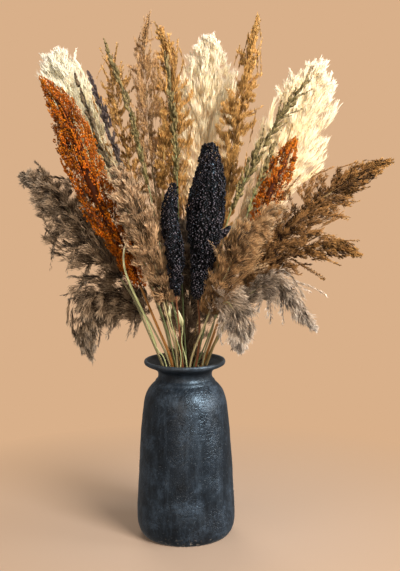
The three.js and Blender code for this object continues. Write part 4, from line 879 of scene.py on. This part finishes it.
def blade(b, path, width, thick, normal, u, v0=0.05, v1=0.95, cup=0.0):
    """A thin closed leaf along a row of points, with pointed ends and a slight channel."""
    Q = crom(np.array(path), 6)
    n = len(Q)
    s = np.linspace(0, 1, n)
    W = np.interp(s, np.linspace(0, 1, len(width)), width)
    T = unit(np.gradient(Q, axis=0))
    nn = np.asarray(normal, float)
    nn = np.tile(nn, (n, 1)) if nn.ndim == 1 else nn
    nn = unit(nn - T * np.sum(nn * T, axis=1, keepdims=True))
    S = np.cross(T, nn)
    prof = [(-1, cup), (-0.5, cup * 0.25 + 0.5), (0, 0.5), (0.5, cup * 0.25 + 0.5), (1, cup), (0.5, cup * 0.25 - 0.5), (0, -0.5), (-0.5, cup * 0.25 - 0.5)]
    ring = []
    for a, t in prof:
        up_ = t * thick if abs(a) < 1 else 0.0
        ring.append(Q + S * (a * W)[:, None] + nn * (up_ + cup * abs(a) ** 2 * W)[:, None])
    R = np.stack(ring, 1)[1:-1]
    m = len(prof)
    V = np.concatenate([Q[:1], R.reshape(-1, 3), Q[-1:]])
    uv = np.empty((len(V), 2))
    uv[:, 0] = u
    uv[1:-1, 0] = np.tile(u + np.array([-0.08, 0, 0.08, 0, -0.08, -0.02, 0, -0.02]) * 0.5, n - 2)
    uv[:, 1] = v0 + (v1 - v0) * np.r_[0, np.repeat(s[1:-1], m), 1]
    j = np.arange(m)
    j2 = (j + 1) % m
    tri = [np.stack([np.zeros(m, int), 1 + j2, 1 + j], 1)]
    for i in range(n - 3):
        p, q = 1 + i * m, 1 + (i + 1) * m
        tri += [np.stack([p + j, p + j2, q + j2], 1), np.stack([p + j, q + j2, q + j], 1)]
    p = 1 + (n - 3) * m
    tri.append(np.stack([p + j, p + j2, np.full(m, len(V) - 1)], 1))
    b.add(V, np.concatenate(tri), uv)


def black(name, seed, n, size, top):
    p = PLANTS[name]
    rng = np.random.default_rng(seed)
    b = Build()
    h = Head(p["head"][:-2] + [(*p["head"][-2][:3], p["head"][-2][3] * 1.12, p["head"][-2][4]), (*p["head"][-1][:3], top, top)])
    stem(b, p, rng, 1)
    dark_shade_core(b, h, 0.74, hi=0.93)
    grain_head(b, h, rng, n, size, layers=((1.0, 0.8), (0.88, 0.2)), lump=4.4)
    for row in p["side"]:
        rows = [(*q, w, w) for q, w in zip(row, (7.5, 7.0, 4.0))]
        grain_head(b, Head(rows), rng, 230, size, lump=1.0)
        grain_head(b, Head([(*q, w * 0.5, w * 0.5) for q, w in zip(row, (7.5, 7.0, 4.0))]), rng, 60, size, lump=0.3)
    done(name, b, "black")


def buds(name, seed, petals):
    p = PLANTS[name]
    rng = np.random.default_rng(seed)
    b = Build()
    stem(b, p, rng, 1, extra_top=2)
    h = Head(p["head"])
    L = h.length
    C, T, N, B, rx, ry = h.at(np.array([0.0, 0.35, 0.7, 1.0]))
    for i in range(petals):
        a = i / petals * 2 * math.pi + rng.uniform(-0.2, 0.2)
        rad = unit(N * math.cos(a) + B * math.sin(a))
        f = rng.uniform(0.82, 1.0)
        w = max(p["head"][1][3], p["head"][0][3]) * MM
        path = [C[0], C[0] + (C[1] - C[0]) * f + rad[1] * w * 0.75, C[0] + (C[2] - C[0]) * f + rad[2] * w * 0.6, C[0] + (C[3] - C[0]) * f + rad[3] * w * rng.uniform(0.1, 0.9)]
        blade(b, path, [0.2 * w, 0.75 * w, 0.55 * w, 0.05 * w], 0.5 * MM, rad[1], rng.uniform(0.3, 0.46), 0.3, 0.98, cup=-0.3)
    done(name, b, "leaf")


def leaf():
    p = PLANTS["leaf_blade"]
    rng = np.random.default_rng(5)
    b = Build()
    stem(b, p, rng, 1, extra_top=2)
    rows = np.array([h[:3] for h in p["head"]]) * MM
    wid = [h[3] * MM * 0.75 for h in p["head"]]
    nrm = np.array([0.35, -1.0, 0.2])
    blade(b, rows, wid, 0.7 * MM, nrm, 0.34, 0.05, 0.98, cup=0.35)
    done("leaf_blade", b, "leaf")


vase()
kind("cream_pampas_left", 1, "cream_left", CREAM, 225, 21372, locks=34, grow=1.12, low=0.15, side_per=572, side=dict(n_sub=4, fan=5, len=(10, 20)))
kind("cream_pampas_centre", 2, "cream", CREAM, 315, 25394, locks=44, grow=1.16, low=0.1, down=((16, 12),), side_per=572, side=dict(n_sub=4, fan=5, len=(10, 20)))
kind("cream_pampas_right", 3, "cream", CREAM, 300, 24415, locks=46, grow=1.24, low=0.1, down=((10, 8), (22, 15)), side_per=616, side=dict(n_sub=4, fan=6, len=(10, 22)))
kind("taupe_pampas_left", 4, "taupe", TAUPE, 255, 19255, locks=46, grow=1.25, low=0.25, side_per=374, side=dict(n_sub=4, fan=6))
kind("taupe_pampas_lower_left", 5, "taupe", TAUPE, 195, 14723, locks=38, grow=1.3, low=0.3, side_per=286, side=dict(n_sub=3, fan=5))
kind("taupe_pampas_centre_low", 6, "taupe", TAUPE, 220, 20500, adv=(-0.08, 0.14), grow=1.3, low=0.2, down=((15, 9), (27, 14)), droop=0.1)
kind("beige_pampas_front", 7, "beige", BEIGE, 195, 14763, locks=36, grow=0.95, shift=7, low=0.1, side_per=190, side=dict(n_sub=4, fan=5))
kind("taupe_pampas_front_right", 8, "beige_brown", BEIGE, 195, 14763, locks=36, grow=1.08, low=0.05, droop=0.15, side_per=286, side=dict(n_sub=4, fan=5))
kind("grey_pampas_hanging_right", 9, "grey", TAUPE, 90, 6247, locks=16, grow=1.3, low=0.3, droop=0.3, side_per=242, side=dict(n_sub=3, fan=4))
kind("taupe_plume_drooping_right", 10, "grey", TAUPE, 120, 6300, locks=20, grow=1.05, low=0.5, droop=0.2, side_per=242, side=dict(n_sub=3, fan=3))
kind("brown_plume_right", 11, "brown", REED, 255, 18357, locks=44, grow=1.2, low=0.3, adv=(0.02, 0.16), align=0.45, spread=0.36, len=(8, 15), curl=0.4, side_per=374, side=dict(n_sub=4, fan=5))
kind("brown_plume_lower_right", 12, "brown", REED, 165, 10191, locks=30, grow=1.3, low=0.4, adv=(0.02, 0.18), align=0.45, spread=0.36, len=(8, 15), curl=0.45, droop=0.05, side_per=286, side=dict(n_sub=4, fan=4))
kind("golden_reed_right", 13, "tan", REED, 205, 14000, locks=24, grow=1.65, low=0.2, down=((6, 6), (13, 12)), side_per=198, side=dict(n_sub=3, fan=2))
kind("tan_reed_left", 14, "tan", REED, 165, 11800, locks=22, grow=1.8, low=0.1, down=((7, 6), (16, 13)), len=(6, 12), side_per=198, side=dict(n_sub=3, fan=3))
kind("golden_reed_centre", 15, "tan", REED, 180, 11600, locks=20, grow=1.65, low=0.1, down=((7, 7), (16, 13)), side_per=176, side=dict(n_sub=3, fan=2))
kind("taupe_reed_centre", 16, "reed_taupe", REED, 215, 15200, locks=24, grow=1.7, low=0.2, down=((8, 7), (20, 15)), len=(7, 13), hair=0.6)
kind("brown_reed_short", 17, "tan", REED, 60, 3824, grow=1.3)
kind("orange_sorghum_left", 18, "orange", ORANGE, 500, 10800, grow=1.14, low=0.3, locks=46, extra=lambda b, h, p, rng: dark_shade_core(b, h, 0.24, 0.04))
kind("orange_sorghum_right", 19, "orange", ORANGE, 270, 5900, grow=1.3, side_per=80, side=dict(n_sub=2, fan=2), extra=lambda b, h, p, rng: dark_shade_core(b, h, 0.2, 0.04))
kind("green_spike_tall", 20, "green", SPIKE, 90, 1300, grow=1.7, curl=0.04, rach=0.6)
kind("green_spike_centre", 21, "green", SPIKE, 80, 1250, grow=1.7, curl=0.04, rach=0.6)
kind("green_spike_right", 22, "green", SPIKE, 110, 1250, grow=1.6, rach=0.6, side_per=46, side=dict(n_sub=3, fan=1.6, hair=1.5, spread=0.2))
kind("green_spike_right_short", 23, "green", SPIKE, 40, 520, grow=1.35, rach=0.6, side_per=40, side=dict(n_sub=3, fan=1.6, hair=1.5, spread=0.2))
kind("grey_green_spike_left", 24, "grey_green", SPIKE, 80, 1100, grow=1.8, twig=0.0, curl=0.04, rach=0.6)
kind("purple_spike_left", 25, "purple", SPIKE, 80, 1100, grow=1.8, curl=0.04, rach=0.6)
black("black_sorghum_large", 26, 3600, 2.3, 18)
black("black_sorghum_small", 27, 1600, 2.15, 8)
buds("bud_stem_left", 28, 4)
buds("bud_stem_right", 29, 5)
leaf()
print("triangles", sum(COUNT.values()), COUNT)

# ------------------------------------------------------------------ floor, backdrop and light
TONE = lin((217, 176, 138))


def floor():
    me = bpy.data.meshes.new("floor")
    n = 96
    verts = [(0, 0, 0)] + [(9 * math.cos(i / n * 2 * math.pi), 9 * math.sin(i / n * 2 * math.pi), 0) for i in range(n)]
    me.from_pydata(verts, [], [(0, 1 + i, 1 + (i + 1) % n) for i in range(n)])
    k = Nodes("floor")
    tc = k.new("ShaderNodeTexCoord").outputs["Object"]
    ln = k.new("ShaderNodeVectorMath", operation="LENGTH")
    k.link(tc, ln.inputs[0])
    far = k.grey(k.math("DIVIDE", ln.outputs["Value"], 2.0), [(0.10, 0.0), (0.42, 1.0)])
    k.bsdf.inputs["Base Color"].default_value = lin((178, 152, 130))
    k.bsdf.inputs["Roughness"].default_value = 0.8
    em = k.new("ShaderNodeEmission")
    em.inputs[0].default_value = TONE
    mx = k.new("ShaderNodeMixShader")
    k.link(far, mx.inputs[0])
    k.link(k.bsdf.outputs[0], mx.inputs[1])
    k.link(em.outputs[0], mx.inputs[2])
    k.link(mx.outputs[0], k.out.inputs[0])
    me.materials.append(k.mat)
    ob = bpy.data.objects.new("floor", me)
    scene.collection.objects.link(ob)
    ob.visible_diffuse = ob.visible_glossy = False


floor()


def dome():
    me = bpy.data.meshes.new("dome")
    bm = bmesh.new()
    bmesh.ops.create_icosphere(bm, subdivisions=4, radius=9.5)
    bm.to_mesh(me)
    bm.free()
    k = Nodes("dome")
    em = k.new("ShaderNodeEmission")
    em.inputs[0].default_value = TONE
    k.link(em.outputs[0], k.out.inputs[0])
    me.materials.append(k.mat)
    ob = bpy.data.objects.new("dome", me)
    scene.collection.objects.link(ob)
    for kind_ in ("diffuse", "glossy", "transmission", "volume_scatter", "shadow"):
        setattr(ob, "visible_" + kind_, False)


dome()
world = bpy.data.worlds.new("world")
scene.world = world
world.use_nodes = True
bg = world.node_tree.nodes["Background"]
bg.inputs[0].default_value = lin((238, 232, 226))
bg.inputs[1].default_value = 0.24


def area(name, at, to, size, power, colour):
    d = bpy.data.lights.new(name, "AREA")
    d.shape = "DISK"
    d.size, d.energy, d.color = size, power, colour
    ob = bpy.data.objects.new(name, d)
    scene.collection.objects.link(ob)
    z = unit(np.array(at, float) - np.array(to, float))
    x = unit(np.cross([0, 0, 1.0], z))
    y = np.cross(z, x)
    mt = Matrix.Identity(4)
    for i in range(3):
        mt[i][0], mt[i][1], mt[i][2], mt[i][3] = x[i], y[i], z[i], at[i]
    ob.matrix_world = mt
    return ob


area("key", (1.5, -1.85, 1.9), (0, 0, 0.6), 1.3, 130, (1.0, 0.96, 0.91)).visible_glossy = False
area("glint", (1.9, -1.8, 1.85), (0, 0, 0.45), 0.46, 190, (0.6, 0.82, 1.0)).visible_diffuse = False
area("side", (2.5, -0.5, 0.9), (0, 0, 0.4), 1.1, 30, (0.86, 0.94, 1.0))
area("front", (-0.3, -2.9, 1.1), (0, 0, 0.6), 2.0, 22, (1.0, 0.96, 0.9))
area("fill", (-2.2, -1.6, 1.3), (0, 0, 0.6), 1.8, 15, (1.0, 0.95, 0.9)).visible_glossy = False
area("back", (-0.6, 2.2, 1.8), (0, 0, 0.7), 1.6, 34, (1.0, 0.96, 0.9)).visible_glossy = False

scene.view_settings.view_transform = "Standard"
scene.view_settings.look = "None"
scene.view_settings.exposure = 0.0
